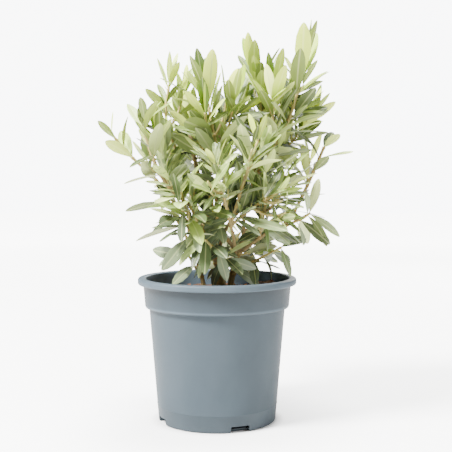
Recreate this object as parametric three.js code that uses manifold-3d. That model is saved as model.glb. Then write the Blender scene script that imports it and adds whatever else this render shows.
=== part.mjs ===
// A young olive in a nursery pot: the pot, its soil, a trunk with two lesser stems, their boughs,
// and masses of leafy shoots. Millimetres, +Z up. The origin is the middle of the pot's flat underside.
import * as THREE from 'three';
import { mergeVertices } from 'three/addons/utils/BufferGeometryUtils.js';
import Module from 'manifold-3d';

const wasm = await Module();
wasm.setup();

// The pot: a straight-sided taper under a wider collar, with a rolled lip
const POT_HEIGHT = 171;
const LIP_RADIUS = 95;
const LIP_DEPTH = 7.6;
const LIP_ROUND = 2.4;
const MOUTH_RADIUS = 85.5;
const COLLAR_FOOT = 138.3;
const COLLAR_RADIUS = 86.5;
const COLLAR_TOP_RADIUS = 88.4;
const COLLAR_LEAN = 1.5;
const SHOULDER_RADIUS = 81.7;
const BASE_RADIUS = 70.5;
const EDGE = 1.5;
const WALL = 2.0;
const POT_FLOOR = 2.6;
const POT_SIDES = 48;

// Four drainage slots, open below, through the wall and the floor's edge; the first stands this far round
const SLOTS = 4;
const FIRST_SLOT = THREE.MathUtils.degToRad(22.7);
const SLOT_WIDTH = 23;
const SLOT_TOP = 7;
const SLOT_BELOW = 1;
const SLOT_CUT = { inside: 8, outside: 4 };

// The soil: level where the stems stand, uneven round them, with a loose heap at the back right
const SOIL_LEVEL = 152;
const SOIL_SIDES = 24;
const SOIL_RINGS = [70, 50, 26];
const HEAP = { x: 60, y: 32, radius: 27, height: 10 };
const BED = { x: 3, y: -6, radius: 34, ease: 16 };
const LUMP_HEIGHT = 1.6;
const LUMP_LENGTH = { x: 30, y: 37 };
const SOIL_CLEAR = 0.45;
const SOIL_BEVEL = { wide: 14, high: 8 };

// Clearances: between touching pieces, and round each new twig or leaf as it grows
const GAP = 0.3;
const CLEAR = 0.25;
// Leaves of one mass may meet near their own stalks, over this share of their length
const OWN_CLEAR = 0.1;
const OWN_FREE = 0.05;
const STALK_FREE = 1.5;
const SLIVER = 0.02;
const LEAF_FLOOR = 160;
const TWIG_FLOOR = 165;
const RIM_CLEAR = { above: 3, inside: 4 };

// Limbs: what carries it, how far along that, the points it passes, thickness at both ends, root flare
const FOOT = SOIL_LEVEL + GAP;
const LIMBS = {
  trunk: { way: [[6, 0, FOOT], [1, 3, 186], [-12, 9, 245], [-27, 16, 311]], thick: [10.8, 4.8],
    flare: 3.2 },
  stem_left: { way: [[-14, -14, FOOT], [-17, -14, 168], [-25, -16, 201]], thick: [5.2, 4.2], flare: 1.2 },
  stem_right: { way: [[17, -9, FOOT], [17, -10, 168], [25, -14, 200]], thick: [7.6, 6], flare: 1.6 },
  bough_left: { on: 'stem_right', at: 1, way: [[11, -20, 219], [-5, -26, 236]], thick: [4.8, 4] },
  bough_right: { on: 'stem_right', at: 1, way: [[39, -12, 210], [56, -8, 222], [73, -5, 228]],
    thick: [4.6, 3.6] },
  bough_high: { on: 'stem_right', at: 1, way: [[31, -8, 222], [32, -2, 244]], thick: [5, 4.2] },
  bough_upper_left: { on: 'trunk', at: 0.62, way: [[-25, 6, 269], [-35, 2, 294]], thick: [3.8, 3.2] },
  bough_back_left: { on: 'trunk', at: 0.38, way: [[-19, 32, 235], [-27, 48, 256]], thick: [4.4, 3.6] },
  bough_back_right: { on: 'trunk', at: 0.26, way: [[11, 28, 228], [26, 46, 247]], thick: [4.8, 3.8] },
  bough_front: { on: 'stem_right', at: 0.8, way: [[20, -34, 218], [16, -50, 235]], thick: [4.4, 3.6] },
};

// Masses of foliage: what carries the stem and where, the points it passes, its thickness, the longest leaf,
// how grown the first pair at the tip is, the gap between pairs, the side twigs, the share of leaves still
// on, and the seed of its draws. A pruned mass ends in a cut stub, with full-grown leaves up to it; a low one
// says how old its last pair is, so that its leaves spread, and how far they droop.
const FOLIAGE = {
  foliage_left_tip: { on: 'stem_left', at: 1, way: [[-38, -20, 242], [-69, -24, 285], [-103, -27, 318],
    [-127, -28, 347]], thick: 4, leaf: 48, first: 0.45, gap: 19, twigs: 0, keep: 0.72, seed: 2312 },
  foliage_left: { on: 'bough_left', at: 1, way: [[-25, -35, 254], [-53, -41, 277], [-71, -42, 307],
    [-83, -42, 344]], thick: 3.8, leaf: 50, pruned: true, gap: 17, twigs: 1, keep: 0.8, seed: 520 },
  foliage_upper_left: { on: 'bough_upper_left', at: 1, way: [[-51, 2, 328], [-61, 1, 364], [-57, 1, 401]],
    thick: 3.2, leaf: 46, first: 0.85, gap: 15, twigs: 1, keep: 0.9, seed: 1334 },
  foliage_top_left: { on: 'bough_left', at: 1, way: [[0, -27, 264], [2, -20, 310], [-5, -16, 348],
    [-13, -13, 389]], thick: 3.8, leaf: 60, first: 0.98, gap: 16, twigs: 2, keep: 0.85, seed: 1401 },
  foliage_top_middle: { on: 'trunk', at: 0.8, way: [[-4, 4, 311], [13, -8, 349], [20, -14, 379]],
    thick: 3.2, leaf: 54, first: 0.85, gap: 16, twigs: 2, keep: 0.85, seed: 485 },
  foliage_top_right: { on: 'bough_high', at: 1, way: [[42, 10, 280], [54, 18, 336], [52, 20, 380],
    [43, 20, 416]], thick: 3.4, leaf: 56, first: 0.85, gap: 16, twigs: 2, keep: 0.88, seed: 306 },
  foliage_crown: { on: 'bough_high', at: 1, way: [[45, -2, 287], [64, -6, 323], [86, -10, 362],
    [100, -12, 412]], thick: 4, leaf: 62, first: 1, gap: 17, twigs: 1, keep: 0.85, seed: 2500 },
  foliage_right: { on: 'bough_right', at: 1, way: [[90, -2, 246], [110, 2, 285], [128, 2, 327]],
    thick: 3.6, leaf: 42, pruned: true, gap: 16, twigs: 1, keep: 0.85, seed: 976 },
  foliage_right_low: { on: 'bough_right', at: 1, way: [[86, -12, 235], [107, -22, 247]], thick: 3,
    leaf: 52, first: 0.6, tipAge: 5, droop: 0.5, gap: 14, twigs: 1, keep: 0.85, seed: 476 },
  foliage_front_right: { on: 'bough_front', at: 1, way: [[38, -56, 254], [78, -68, 279]], thick: 3,
    leaf: 48, first: 0.42, droop: 0.25, gap: 15, twigs: 2, keep: 0.85, seed: 180 },
  foliage_trunk_top: { on: 'trunk', at: 1, way: [[-32, 19, 338], [-37, 24, 372]], thick: 4, leaf: 44,
    pruned: true, gap: 13, twigs: 1, keep: 0.8, seed: 78 },
  foliage_back_left: { on: 'bough_back_left', at: 1, way: [[-43, 72, 284], [-70, 92, 338]], thick: 3,
    leaf: 50, first: 0.42, gap: 15, twigs: 2, keep: 0.85, seed: 63 },
  foliage_back_right: { on: 'bough_back_right', at: 1, way: [[52, 78, 287], [83, 98, 357]], thick: 3.2,
    leaf: 52, first: 0.42, gap: 15, twigs: 2, keep: 0.85, seed: 114 },
  foliage_back: { on: 'trunk', at: 0.72, way: [[-7, 44, 306], [12, 62, 377]], thick: 3.2, leaf: 52,
    first: 0.42, gap: 15, twigs: 2, keep: 0.85, seed: 162 },
  foliage_front: { on: 'bough_front', at: 1, way: [[11, -66, 258], [-3, -84, 310]], thick: 2.8, leaf: 48,
    first: 0.42, droop: 0.15, gap: 14, twigs: 1, keep: 0.85, seed: 146 },
  foliage_front_high: { on: 'bough_front', at: 1, way: [[26, -60, 270], [47, -60, 333]], thick: 3,
    leaf: 50, first: 0.6, gap: 15, twigs: 1, keep: 0.85, seed: 227 },
  foliage_low_front: { on: 'stem_right', at: 0.5, way: [[13, -34, 192], [-13, -62, 220]], thick: 2.4,
    leaf: 46, first: 0.7, tipAge: 5, droop: 0.9, gap: 13, twigs: 0, keep: 0.9, seed: 56 },
  foliage_low_left: { on: 'stem_left', at: 0.7, way: [[-33, -26, 215], [-46, -31, 240], [-57, -35, 262]],
    thick: 2.8, leaf: 54, first: 0.8, tipAge: 7, droop: 0.2, gap: 16, twigs: 0, keep: 0.9, seed: 2282 },
  foliage_low_outer: { on: 'stem_left', at: 0.42, way: [[-25, -24, 184], [-33, -32, 200]], thick: 2.4,
    leaf: 52, first: 0.7, tipAge: 8, droop: 0.15, gap: 13, twigs: 0, keep: 0.95, seed: 1004 },
  foliage_low_middle: { on: 'trunk', at: 0.33, way: [[-10, -30, 218], [-30, -66, 258]], thick: 2.6,
    leaf: 50, first: 0.7, tipAge: 5, droop: 0.4, gap: 13, twigs: 0, keep: 0.9, seed: 334 },
  foliage_low_right: { on: 'stem_right', at: 0.62, way: [[41, -16, 190], [76, -26, 209]], thick: 2.4,
    leaf: 44, first: 0.7, tipAge: 6, droop: 0.7, gap: 13, twigs: 0, keep: 0.9, seed: 290 },
  foliage_inner_left: { on: 'stem_left', at: 0.88, way: [[-30, -34, 232], [-40, -58, 274]], thick: 2.6,
    leaf: 50, first: 0.7, tipAge: 3, droop: 0.1, gap: 13, twigs: 1, keep: 0.92, seed: 475 },
  foliage_inner_right: { on: 'bough_right', at: 0.55, way: [[54, -30, 244], [60, -50, 284]], thick: 2.6,
    leaf: 50, first: 0.7, tipAge: 3, droop: 0.15, gap: 13, twigs: 1, keep: 0.92, seed: 561 },
  foliage_inner_middle: { on: 'bough_left', at: 0.45, way: [[2, -44, 240], [-8, -58, 270]], thick: 2.4,
    leaf: 50, first: 0.7, tipAge: 4, droop: 0.3, gap: 13, twigs: 0, keep: 0.92, seed: 242 },
  foliage_low_back: { on: 'trunk', at: 0.22, way: [[8, 30, 186], [29, 76, 220]], thick: 2.8, leaf: 50,
    first: 0.7, tipAge: 5, droop: 0.5, gap: 14, twigs: 1, keep: 0.9, seed: 42 },
};
const TIP_THICK = 2.2;
const STUB_THICK = 2.8;
const CURVE_STEPS = 2;
const FLARE_LENGTH = 7;
const MASS_SIDES = 3;
const LIMB_SIDES = 6;
const TRUNK_SIDES = 8;

// A side twig: where along the stem it may leave, how it opens, how far it reaches and how it lifts
const TWIG = {
  thick: [2.6, 2.0], steps: 2, from: 0.30, over: 0.45, shift: 0.08, opening: 34, spread: 18,
  reach: [0.45, 0.30], least: 12, lift: 0.35, follow: 0.3, clear: 1.2, leaf: 0.92,
};
const TRIES = 6;

// How a shoot is leafed: pairs still growing near the tip, pairs until a leaf is old, bare wood at its start,
// tip left beyond the last pair, and how close the youngest pairs stand
const YOUNG_PAIRS = 4;
const OLD_PAIRS = 10;
const BARE_STEM = 10;
const BARE_TWIG = 9;
const LAST_PAIR = 1.5;
const YOUNGEST_GAP = 0.32;
const ALWAYS_PAIRS = 2;

// How leaves differ: length, place round the stem, opening in degrees, width, twist and downward bend
const LENGTH = { least: 0.84, spread: 0.28 };
const AROUND_SPREAD = 0.6;
const OPENING = { tip: 11, grown: 20, old: 34, spread: 18 };
const WIDTH = { least: 0.215, spread: 0.07 };
const TWIST_SPREAD = 0.8;
const BEND = { least: 0.02, old: 0.12, grown: 0.4, droop: 0.4 };
const GAP_DRAW = { least: 0.85, spread: 0.3 };
// Young leaves lift, old ones hang, and every upper face turns to the sky
const LIFT = 0.12;
const HANG = 0.25;
const FACE_SKY = 0.4;
// A leaf that meets another is set again: swung round, opened differently, later also shorter
const SWING = 1.4;
const REOPEN = 0.6;
const SHORTER = 0.82;
const SHORTER_AFTER = 2;

// The leaf's outline: how far along each pair of edge points sits, with its share of the full width,
// and where the keel under the midrib is deepest
const EDGES = [[0.30, 0.86], [0.66, 0.92]];
const KEEL_AT = 0.42;
const LEAF_THICK = 0.8;
const LEAF_THICK_SHARE = 0.014;
const SINK = 0.4;

const UP = new THREE.Vector3(0, 0, 1);
const along = (point, way, distance) => point.clone().addScaledVector(way, distance);
const toward = (a, b) => b.clone().sub(a).normalize();
const turned = (way, axis, angle) => way.clone().applyAxisAngle(axis, angle);

// A repeatable row of draws between 0 and 1
function draws(seed) {
  let state = seed >>> 0;
  return () => {
    state = (state + 0x6D2B79F5) >>> 0;
    let t = Math.imul(state ^ (state >>> 15), 1 | state);
    t = (t + Math.imul(t ^ (t >>> 7), 61 | t)) ^ t;
    return ((t ^ (t >>> 14)) >>> 0) / 4294967296;
  };
}

// A side direction square to the way a stem runs
function squareTo(way) {
  const ref = Math.abs(way.z) < 0.9 ? UP : new THREE.Vector3(1, 0, 0);
  return new THREE.Vector3().crossVectors(way, ref).normalize();
}

// A smooth curve through the points, in short straight pieces
function smooth(points, steps) {
  const last = points.length - 1;
  const before = points[0].clone().multiplyScalar(2).sub(points[1]);
  const after = points[last].clone().multiplyScalar(2).sub(points[last - 1]);
  const all = [before, ...points, after];
  const out = [];
  for (let i = 0; i < last; i++) {
    const [a, b, c, d] = all.slice(i, i + 4);
    for (let k = 0; k < steps; k++) {
      const t = k / steps;
      const blend = (axis) => (2 * b[axis] + (c[axis] - a[axis]) * t
        + (2 * a[axis] - 5 * b[axis] + 4 * c[axis] - d[axis]) * t * t
        + (3 * b[axis] - a[axis] - 3 * c[axis] + d[axis]) * t * t * t) / 2;
      out.push(new THREE.Vector3(blend('x'), blend('y'), blend('z')));
    }
  }
  out.push(points[last].clone());
  return out;
}

// A stem is a curve with its thickness, walked by the distance from its start
class Stem {
  constructor(points, steps, thick, flare = 0) {
    this.path = smooth(points, steps);
    this.run = [0];
    for (let i = 1; i < this.path.length; i++) {
      this.run.push(this.run[i - 1] + this.path[i].distanceTo(this.path[i - 1]));
    }
    this.long = this.run.at(-1);
    this.radius = this.run.map((d) => (thick[0] + (thick[1] - thick[0]) * d / this.long) / 2
      + flare * Math.exp(-d / FLARE_LENGTH));
  }

  at(distance) {
    let i = 1;
    while (i < this.path.length - 1 && this.run[i] < distance) i++;
    const part = (distance - this.run[i - 1]) / (this.run[i] - this.run[i - 1]);
    return [this.path[i - 1].clone().lerp(this.path[i], part), toward(this.path[i - 1], this.path[i])];
  }
}

// A closed tapering tube: rings of points along the path; a standing tube has its first ring level
function tube(path, radius, sides, grow = 0, stands = false) {
  const points = [];
  const faces = [];
  const last = path.length - 1;
  let side = null;
  path.forEach((point, i) => {
    const way = stands && i === 0 ? UP : toward(path[Math.max(0, i - 1)], path[Math.min(last, i + 1)]);
    side = side ? along(side, way, -side.dot(way)).normalize() : squareTo(way);
    const up = new THREE.Vector3().crossVectors(side, way);
    for (let k = 0; k < sides; k++) {
      const turn = 2 * Math.PI * k / sides;
      const reach = radius[i] + grow;
      points.push(along(along(point, side, reach * Math.cos(turn)), up, reach * Math.sin(turn)));
    }
  });
  for (let i = 0; i < last; i++) {
    for (let k = 0; k < sides; k++) {
      const a = i * sides + k;
      const b = i * sides + (k + 1) % sides;
      faces.push([a, b + sides, b], [a, a + sides, b + sides]);
    }
  }
  const end = last * sides;
  for (let k = 1; k < sides - 1; k++) faces.push([0, k, k + 1], [end, end + k + 1, end + k]);
  return { points, faces };
}

// A point on a leaf's midrib, with the way it runs there and the side its upper face looks
function midrib(leaf, t) {
  const angle = leaf.bend * t;
  const x = Math.sin(angle) / leaf.bend * leaf.long;
  const y = (Math.cos(angle) - 1) / leaf.bend * leaf.long;
  return {
    point: along(along(leaf.base, leaf.aim, x), leaf.face, y),
    way: leaf.aim.clone().multiplyScalar(Math.cos(angle)).addScaledVector(leaf.face, -Math.sin(angle)),
    face: leaf.face.clone().multiplyScalar(Math.cos(angle)).addScaledVector(leaf.aim, Math.sin(angle)),
  };
}

// A leaf is a point sunk in its twig, two pairs of edge points, one keel point under the midrib, and a tip
const LEAF_FACES = [[0, 1, 2], [1, 4, 2], [1, 3, 4], [3, 6, 4], [0, 5, 1], [0, 2, 5], [1, 5, 3], [2, 4, 5],
  [3, 5, 6], [4, 6, 5]];
function leafSolid(leaf, grow = 0, start = -SINK) {
  const across = new THREE.Vector3().crossVectors(leaf.aim, leaf.face);
  const thick = Math.max(LEAF_THICK, LEAF_THICK_SHARE * leaf.long);
  const points = [along(leaf.base, leaf.aim, start)];
  for (const [t, share] of EDGES) {
    const { point, face } = midrib(leaf, t);
    const half = leaf.wide / 2 * share + grow;
    const middle = along(point, face, grow);
    points.push(along(middle, across, half), along(middle, across, -half));
  }
  const keel = midrib(leaf, KEEL_AT);
  const tip = midrib(leaf, 1);
  points.push(along(keel.point, keel.face, -2 * thick - grow));
  points.push(along(tip.point, tip.way, grow));
  return { points, faces: LEAF_FACES };
}

// A shape that later growth keeps clear of
function keepOut(shape, mass) {
  const box = new THREE.Box3().setFromPoints(shape.points);
  const edges = new Map();
  for (const face of shape.faces) {
    for (let k = 0; k < 3; k++) {
      const pair = [face[k], face[(k + 1) % 3]].sort((a, b) => a - b);
      edges.set(pair.join(), pair);
    }
  }
  return { ...shape, edges: [...edges.values()], box, mass };
}

// True where an edge of one shape passes through a face of the other
function pierces(one, other) {
  const ray = new THREE.Vector3();
  const side1 = new THREE.Vector3();
  const side2 = new THREE.Vector3();
  const cross1 = new THREE.Vector3();
  const cross2 = new THREE.Vector3();
  const from = new THREE.Vector3();
  for (const [i, j] of one.edges) {
    ray.subVectors(one.points[j], one.points[i]);
    for (const [a, b, c] of other.faces) {
      side1.subVectors(other.points[b], other.points[a]);
      side2.subVectors(other.points[c], other.points[a]);
      cross1.crossVectors(ray, side2);
      const scale = side1.dot(cross1);
      if (Math.abs(scale) < 1e-12) continue;
      from.subVectors(one.points[i], other.points[a]);
      const u = from.dot(cross1) / scale;
      if (u < 0 || u > 1) continue;
      cross2.crossVectors(from, side1);
      const v = ray.dot(cross2) / scale;
      if (v < 0 || u + v > 1) continue;
      const t = side2.dot(cross2) / scale;
      if (t >= 0 && t <= 1) return true;
    }
  }
  return false;
}
const near = (one, other) => one.box.intersectsBox(other.box);
const touch = (one, other) => near(one, other) && (pierces(one, other) || pierces(other, one));

// The short straight pieces of a stem, as shapes to keep clear of
function stemPieces(stem, sides, mass, skip = 0) {
  const out = [];
  for (let i = 0; i < stem.path.length - 1; i++) {
    const end = stem.path[i + 1];
    const start = i === 0 ? along(stem.path[0], toward(stem.path[0], end), skip) : stem.path[i];
    out.push(keepOut(tube([start, end], stem.radius.slice(i, i + 2), sides, CLEAR), mass));
  }
  return out;
}

// Rows of draws for one seed: for a shoot's own spacing, for one leaf of a pair, and for a side twig's try
const shootDraws = (seed) => draws(seed * 7919 + 11);
const leafDraws = (seed, age, hand) => draws(seed * 1009 + age * 17 + hand * 7 + 3);
const twigDraws = (seed, n, attempt) => draws(seed * 3571 + n * 29 + attempt * 101 + 5);
const twigSeed = (seed, n) => seed * 31 + n;

// Opposite pairs of leaves, each a quarter turn on from the last, worked from the tip back
function leafPlans(stem, mass, habit, bare) {
  const draw = shootDraws(habit.seed);
  const plans = [];
  let turn = draw() * Math.PI;
  let age = habit.tipAge ?? (habit.pruned ? YOUNG_PAIRS : 0);
  const droop = habit.droop ?? 0;
  for (let d = stem.long - LAST_PAIR; d > bare;) {
    const [point, way] = stem.at(d);
    const side = squareTo(way);
    const old = Math.min(1, age / OLD_PAIRS);
    const grown = Math.min(1, age / YOUNG_PAIRS);
    for (const hand of [0, 1]) {
      const luck = leafDraws(habit.seed, age, hand);
      const size = habit.pruned ? 1 : habit.first + (1 - habit.first) * grown;
      const long = habit.leaf * size * (LENGTH.least + LENGTH.spread * luck());
      const there = luck() < habit.keep || age < ALWAYS_PAIRS;
      const around = turn + hand * Math.PI + (luck() - 0.5) * AROUND_SPREAD;
      const opened = OPENING.tip + OPENING.grown * grown + OPENING.old * old;
      const degrees = opened + (luck() - 0.5) * OPENING.spread;
      const opening = THREE.MathUtils.degToRad(degrees);
      const slim = WIDTH.least + WIDTH.spread * luck();
      const twist = (luck() - 0.5) * TWIST_SPREAD;
      const bend = BEND.least + BEND.old * old + BEND.grown * luck() * grown + BEND.droop * droop;
      const place = { point, way, side, around, opening, age, mass };
      if (there) plans.push({ ...place, long, slim, twist, bend, droop, old, luck });
    }
    const spacing = Math.min(1, YOUNGEST_GAP + (1 - YOUNGEST_GAP) * age / YOUNG_PAIRS);
    d -= habit.gap * spacing * (GAP_DRAW.least + GAP_DRAW.spread * draw());
    turn += Math.PI / 2;
    age += 1;
  }
  return plans;
}

// The leaf as a plan sets it; a later try swings it round and opens it differently
function setLeaf(plan, attempt) {
  let { around, opening, long } = plan;
  if (attempt > 0) {
    around += (plan.luck() - 0.5) * SWING;
    opening += (plan.luck() - 0.5) * REOPEN;
  }
  if (attempt > SHORTER_AFTER) long *= SHORTER;
  const out = turned(plan.side, plan.way, around);
  const aim = plan.way.clone().multiplyScalar(Math.cos(opening)).addScaledVector(out, Math.sin(opening));
  aim.addScaledVector(UP, LIFT - HANG * plan.old - plan.droop).normalize();
  let face = along(plan.way, aim, -aim.dot(plan.way)).normalize();
  face.addScaledVector(along(UP, aim, -aim.z), FACE_SKY).normalize();
  face = turned(face, aim, plan.twist);
  return { base: plan.point, aim, face, long, wide: plan.slim * long, bend: plan.bend };
}

// Leaves stay above the soil, and inside the mouth where they are lower than the rim
const tooLow = (shape) => shape.points.some((p) => p.z < LEAF_FLOOR
  || (p.z < POT_HEIGHT + RIM_CLEAR.above && Math.hypot(p.x, p.y) > MOUTH_RADIUS - RIM_CLEAR.inside));

// One side twig of a mass: it leaves the stem at an angle and then lifts towards the light
function sideTwig(stem, habit, n, attempt) {
  const luck = twigDraws(habit.seed, n, attempt);
  const share = TWIG.from + TWIG.over * (n + 0.5) / habit.twigs + TWIG.shift * (luck() - 0.5);
  const d = stem.long * share;
  const [point, way] = stem.at(d);
  const out = turned(squareTo(way), way, luck() * 2 * Math.PI);
  const opening = THREE.MathUtils.degToRad(TWIG.opening + TWIG.spread * luck());
  const aim = way.clone().multiplyScalar(Math.cos(opening));
  aim.addScaledVector(out, Math.sin(opening)).normalize();
  const reach = (stem.long - d) * (TWIG.reach[0] + TWIG.reach[1] * luck()) + TWIG.least;
  const middle = along(point, aim, reach / 2);
  const lift = aim.clone().addScaledVector(UP, TWIG.lift).addScaledVector(way, TWIG.follow).normalize();
  return new Stem([point, middle, along(middle, lift, reach / 2)], TWIG.steps, TWIG.thick);
}

// Every limb, from what carries it outwards
function growLimbs() {
  const limbs = {};
  for (const [name, { on, at, way, thick, flare = 0 }] of Object.entries(LIMBS)) {
    const points = way.map((p) => new THREE.Vector3(...p));
    if (on) points.unshift(limbs[on].at(at * limbs[on].long)[0]);
    limbs[name] = new Stem(points, CURVE_STEPS, thick, flare);
  }
  return limbs;
}

// Every mass: its stem, then its side twigs, then the leaves of all masses, the youngest pairs first
function growFoliage(limbs) {
  const limbPieces = Object.values(limbs).flatMap((stem) => stemPieces(stem, LIMB_SIDES, null));
  const masses = {};
  const wood = [];
  for (const [name, habit] of Object.entries(FOLIAGE)) {
    const start = limbs[habit.on].at(habit.at * limbs[habit.on].long)[0];
    const points = [start, ...habit.way.map((p) => new THREE.Vector3(...p))];
    const stem = new Stem(points, CURVE_STEPS, [habit.thick, habit.pruned ? STUB_THICK : TIP_THICK]);
    masses[name] = { stem, twigs: [], leaves: [] };
    wood.push(...stemPieces(stem, MASS_SIDES, name));
  }
  const plans = [];
  for (const [name, habit] of Object.entries(FOLIAGE)) {
    const { stem, twigs } = masses[name];
    plans.push(...leafPlans(stem, name, habit, BARE_STEM));
    for (let n = 0; n < habit.twigs; n++) {
      for (let attempt = 0; attempt < TRIES; attempt++) {
        const twig = sideTwig(stem, habit, n, attempt);
        const pieces = stemPieces(twig, MASS_SIDES, name, habit.thick / 2 + TWIG.clear);
        if (pieces.some((piece) => piece.box.min.z < TWIG_FLOOR)) continue;
        if (pieces.some((piece) => [...wood, ...limbPieces].some((other) => touch(piece, other)))) continue;
        wood.push(...pieces);
        twigs.push(twig);
        const first = habit.pruned ? 1 : habit.first;
        const leaf = habit.leaf * TWIG.leaf;
        const smaller = { ...habit, first, pruned: false, leaf, seed: twigSeed(habit.seed, n) };
        plans.push(...leafPlans(twig, name, smaller, BARE_TWIG));
        break;
      }
    }
  }
  plans.sort((a, b) => a.age - b.age);
  const blades = [];
  const wholes = [];
  for (const plan of plans) {
    for (let attempt = 0; attempt < TRIES; attempt++) {
      const leaf = setLeaf(plan, attempt);
      const whole = keepOut(leafSolid(leaf, CLEAR, STALK_FREE), plan.mass);
      if (tooLow(whole)) continue;
      const blade = keepOut(leafSolid(leaf, OWN_CLEAR, OWN_FREE * leaf.long), plan.mass);
      const foreign = [...limbPieces, ...wood, ...wholes].filter((other) => other.mass !== plan.mass);
      if (foreign.some((other) => touch(whole, other))) continue;
      const own = [...wood, ...blades].filter((other) => other.mass === plan.mass);
      if (own.some((other) => touch(blade, other))) continue;
      blades.push(blade);
      wholes.push(whole);
      masses[plan.mass].leaves.push(leaf);
      break;
    }
  }
  return masses;
}

// Between closed shapes, solids that can be cut and joined, and geometry for a mesh
function solidOf({ points, faces }) {
  const vertProperties = new Float32Array(points.flatMap((p) => [p.x, p.y, p.z]));
  const triVerts = new Uint32Array(faces.flat());
  return new wasm.Manifold(new wasm.Mesh({ numProp: 3, vertProperties, triVerts }));
}
function solidOfGeometry(geometry) {
  geometry.deleteAttribute('normal');
  geometry.deleteAttribute('uv');
  const merged = mergeVertices(geometry, 1e-4);
  const vertProperties = new Float32Array(merged.attributes.position.array);
  const triVerts = new Uint32Array(merged.index.array);
  return new wasm.Manifold(new wasm.Mesh({ numProp: 3, vertProperties, triVerts }));
}
function geometryOf(solid) {
  const mesh = solid.getMesh();
  const geometry = new THREE.BufferGeometry();
  geometry.setAttribute('position', new THREE.BufferAttribute(new Float32Array(mesh.vertProperties), 3));
  geometry.setIndex([...mesh.triVerts]);
  geometry.computeVertexNormals();
  return geometry;
}
// The largest closed piece: drops loose scraps and fills sealed hollows
const mainPiece = (solid) => solid.decompose().reduce((a, b) => (b.volume() > a.volume() ? b : a));

// The inside radius of the pot at a height: the wall's slope, then the wider collar
const SLOPE = (SHOULDER_RADIUS - BASE_RADIUS) / COLLAR_FOOT;
const STEP_FOOT = COLLAR_FOOT - 2;
const STEP_TOP = COLLAR_FOOT + 3;
const insideRadius = (z) => (z <= STEP_FOOT ? BASE_RADIUS + SLOPE * z - WALL
  : MOUTH_RADIUS - COLLAR_LEAN * (POT_HEIGHT - z) / (POT_HEIGHT - COLLAR_FOOT));
const profileOf = (points) => points.map(([r, z]) => new THREE.Vector2(r, z));

// The pot: a profile turned round the axis, with the drainage slots cut through its foot
function makePot() {
  const lipFoot = POT_HEIGHT - LIP_DEPTH;
  const profile = profileOf([
    [0, 0], [BASE_RADIUS - EDGE, 0], [BASE_RADIUS, EDGE], [SHOULDER_RADIUS, COLLAR_FOOT - 1],
    [COLLAR_RADIUS, COLLAR_FOOT], [COLLAR_TOP_RADIUS, lipFoot - 2],
    [LIP_RADIUS - 1.6, lipFoot], [LIP_RADIUS, lipFoot + 2], [LIP_RADIUS, POT_HEIGHT - LIP_ROUND],
    [LIP_RADIUS - LIP_ROUND, POT_HEIGHT], [MOUTH_RADIUS + 2, POT_HEIGHT], [MOUTH_RADIUS, POT_HEIGHT - 2],
    [insideRadius(STEP_TOP), STEP_TOP], [insideRadius(STEP_FOOT), STEP_FOOT],
    [insideRadius(POT_FLOOR), POT_FLOOR], [0, POT_FLOOR],
  ]);
  const turnedPot = new THREE.LatheGeometry(profile, POT_SIDES).rotateX(Math.PI / 2);
  let pot = solidOfGeometry(turnedPot);
  for (let i = 0; i < SLOTS; i++) {
    const slot = new THREE.BoxGeometry(SLOT_CUT.inside + SLOT_CUT.outside, SLOT_WIDTH, SLOT_TOP + SLOT_BELOW);
    slot.translate(BASE_RADIUS + (SLOT_CUT.outside - SLOT_CUT.inside) / 2, 0, (SLOT_TOP - SLOT_BELOW) / 2);
    slot.rotateZ(FIRST_SLOT - Math.PI / 2 + i * 2 * Math.PI / SLOTS);
    pot = pot.subtract(solidOfGeometry(slot));
  }
  return pot;
}

// The height of the soil's surface: a few lumps and the heap, level where the stems stand
function soilHeight(x, y) {
  const heap = HEAP.height * Math.exp(-((x - HEAP.x) ** 2 + (y - HEAP.y) ** 2) / HEAP.radius ** 2);
  const wave = Math.sin(2 * Math.PI * x / LUMP_LENGTH.x) * Math.cos(2 * Math.PI * y / LUMP_LENGTH.y);
  const away = Math.min(1, Math.max(0, (Math.hypot(x - BED.x, y - BED.y) - BED.radius) / BED.ease));
  return SOIL_LEVEL + (heap + LUMP_HEIGHT * wave) * away;
}

// The soil fills the pot up to the collar, clear of its wall and floor, with a bevelled foot behind the slots
function makeSoil() {
  const foot = POT_FLOOR + GAP;
  const edge = (z) => insideRadius(z) - SOIL_CLEAR;
  const rings = SOIL_RINGS.map((r) => [r, SOIL_LEVEL]);
  const bevelled = foot + SOIL_BEVEL.high;
  const profile = profileOf([
    [0, foot], [edge(foot) - SOIL_BEVEL.wide, foot], [edge(bevelled), bevelled], [edge(STEP_FOOT), STEP_FOOT],
    [edge(STEP_TOP), STEP_TOP], [edge(SOIL_LEVEL), SOIL_LEVEL], ...rings, [0, SOIL_LEVEL],
  ]);
  const geometry = new THREE.LatheGeometry(profile, SOIL_SIDES).rotateX(Math.PI / 2);
  const position = geometry.attributes.position;
  for (let i = 0; i < position.count; i++) {
    const atSurface = position.getZ(i) > SOIL_LEVEL - 1;
    if (atSurface) position.setZ(i, soilHeight(position.getX(i), position.getY(i)));
  }
  return solidOfGeometry(geometry);
}

// A limb's own solid, and the same grown by a gap on every side, for cutting what meets it
function limbSolid(name, stem, grow = 0) {
  const path = [...stem.path];
  const last = path.length - 1;
  if (grow) {
    path[0] = along(path[0], toward(path[1], path[0]), grow);
    path[last] = along(path[last], toward(path[last - 1], path[last]), grow);
  }
  const sides = name === 'trunk' ? TRUNK_SIDES : LIMB_SIDES;
  return solidOf(tube(path, stem.radius, sides, grow, !LIMBS[name].on));
}

const plant = new THREE.Group();
function addMesh(name, solid, { color, roughness }) {
  const material = new THREE.MeshStandardMaterial({ color, roughness, metalness: 0 });
  const mesh = new THREE.Mesh(geometryOf(solid), material);
  mesh.name = name;
  plant.add(mesh);
}

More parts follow.
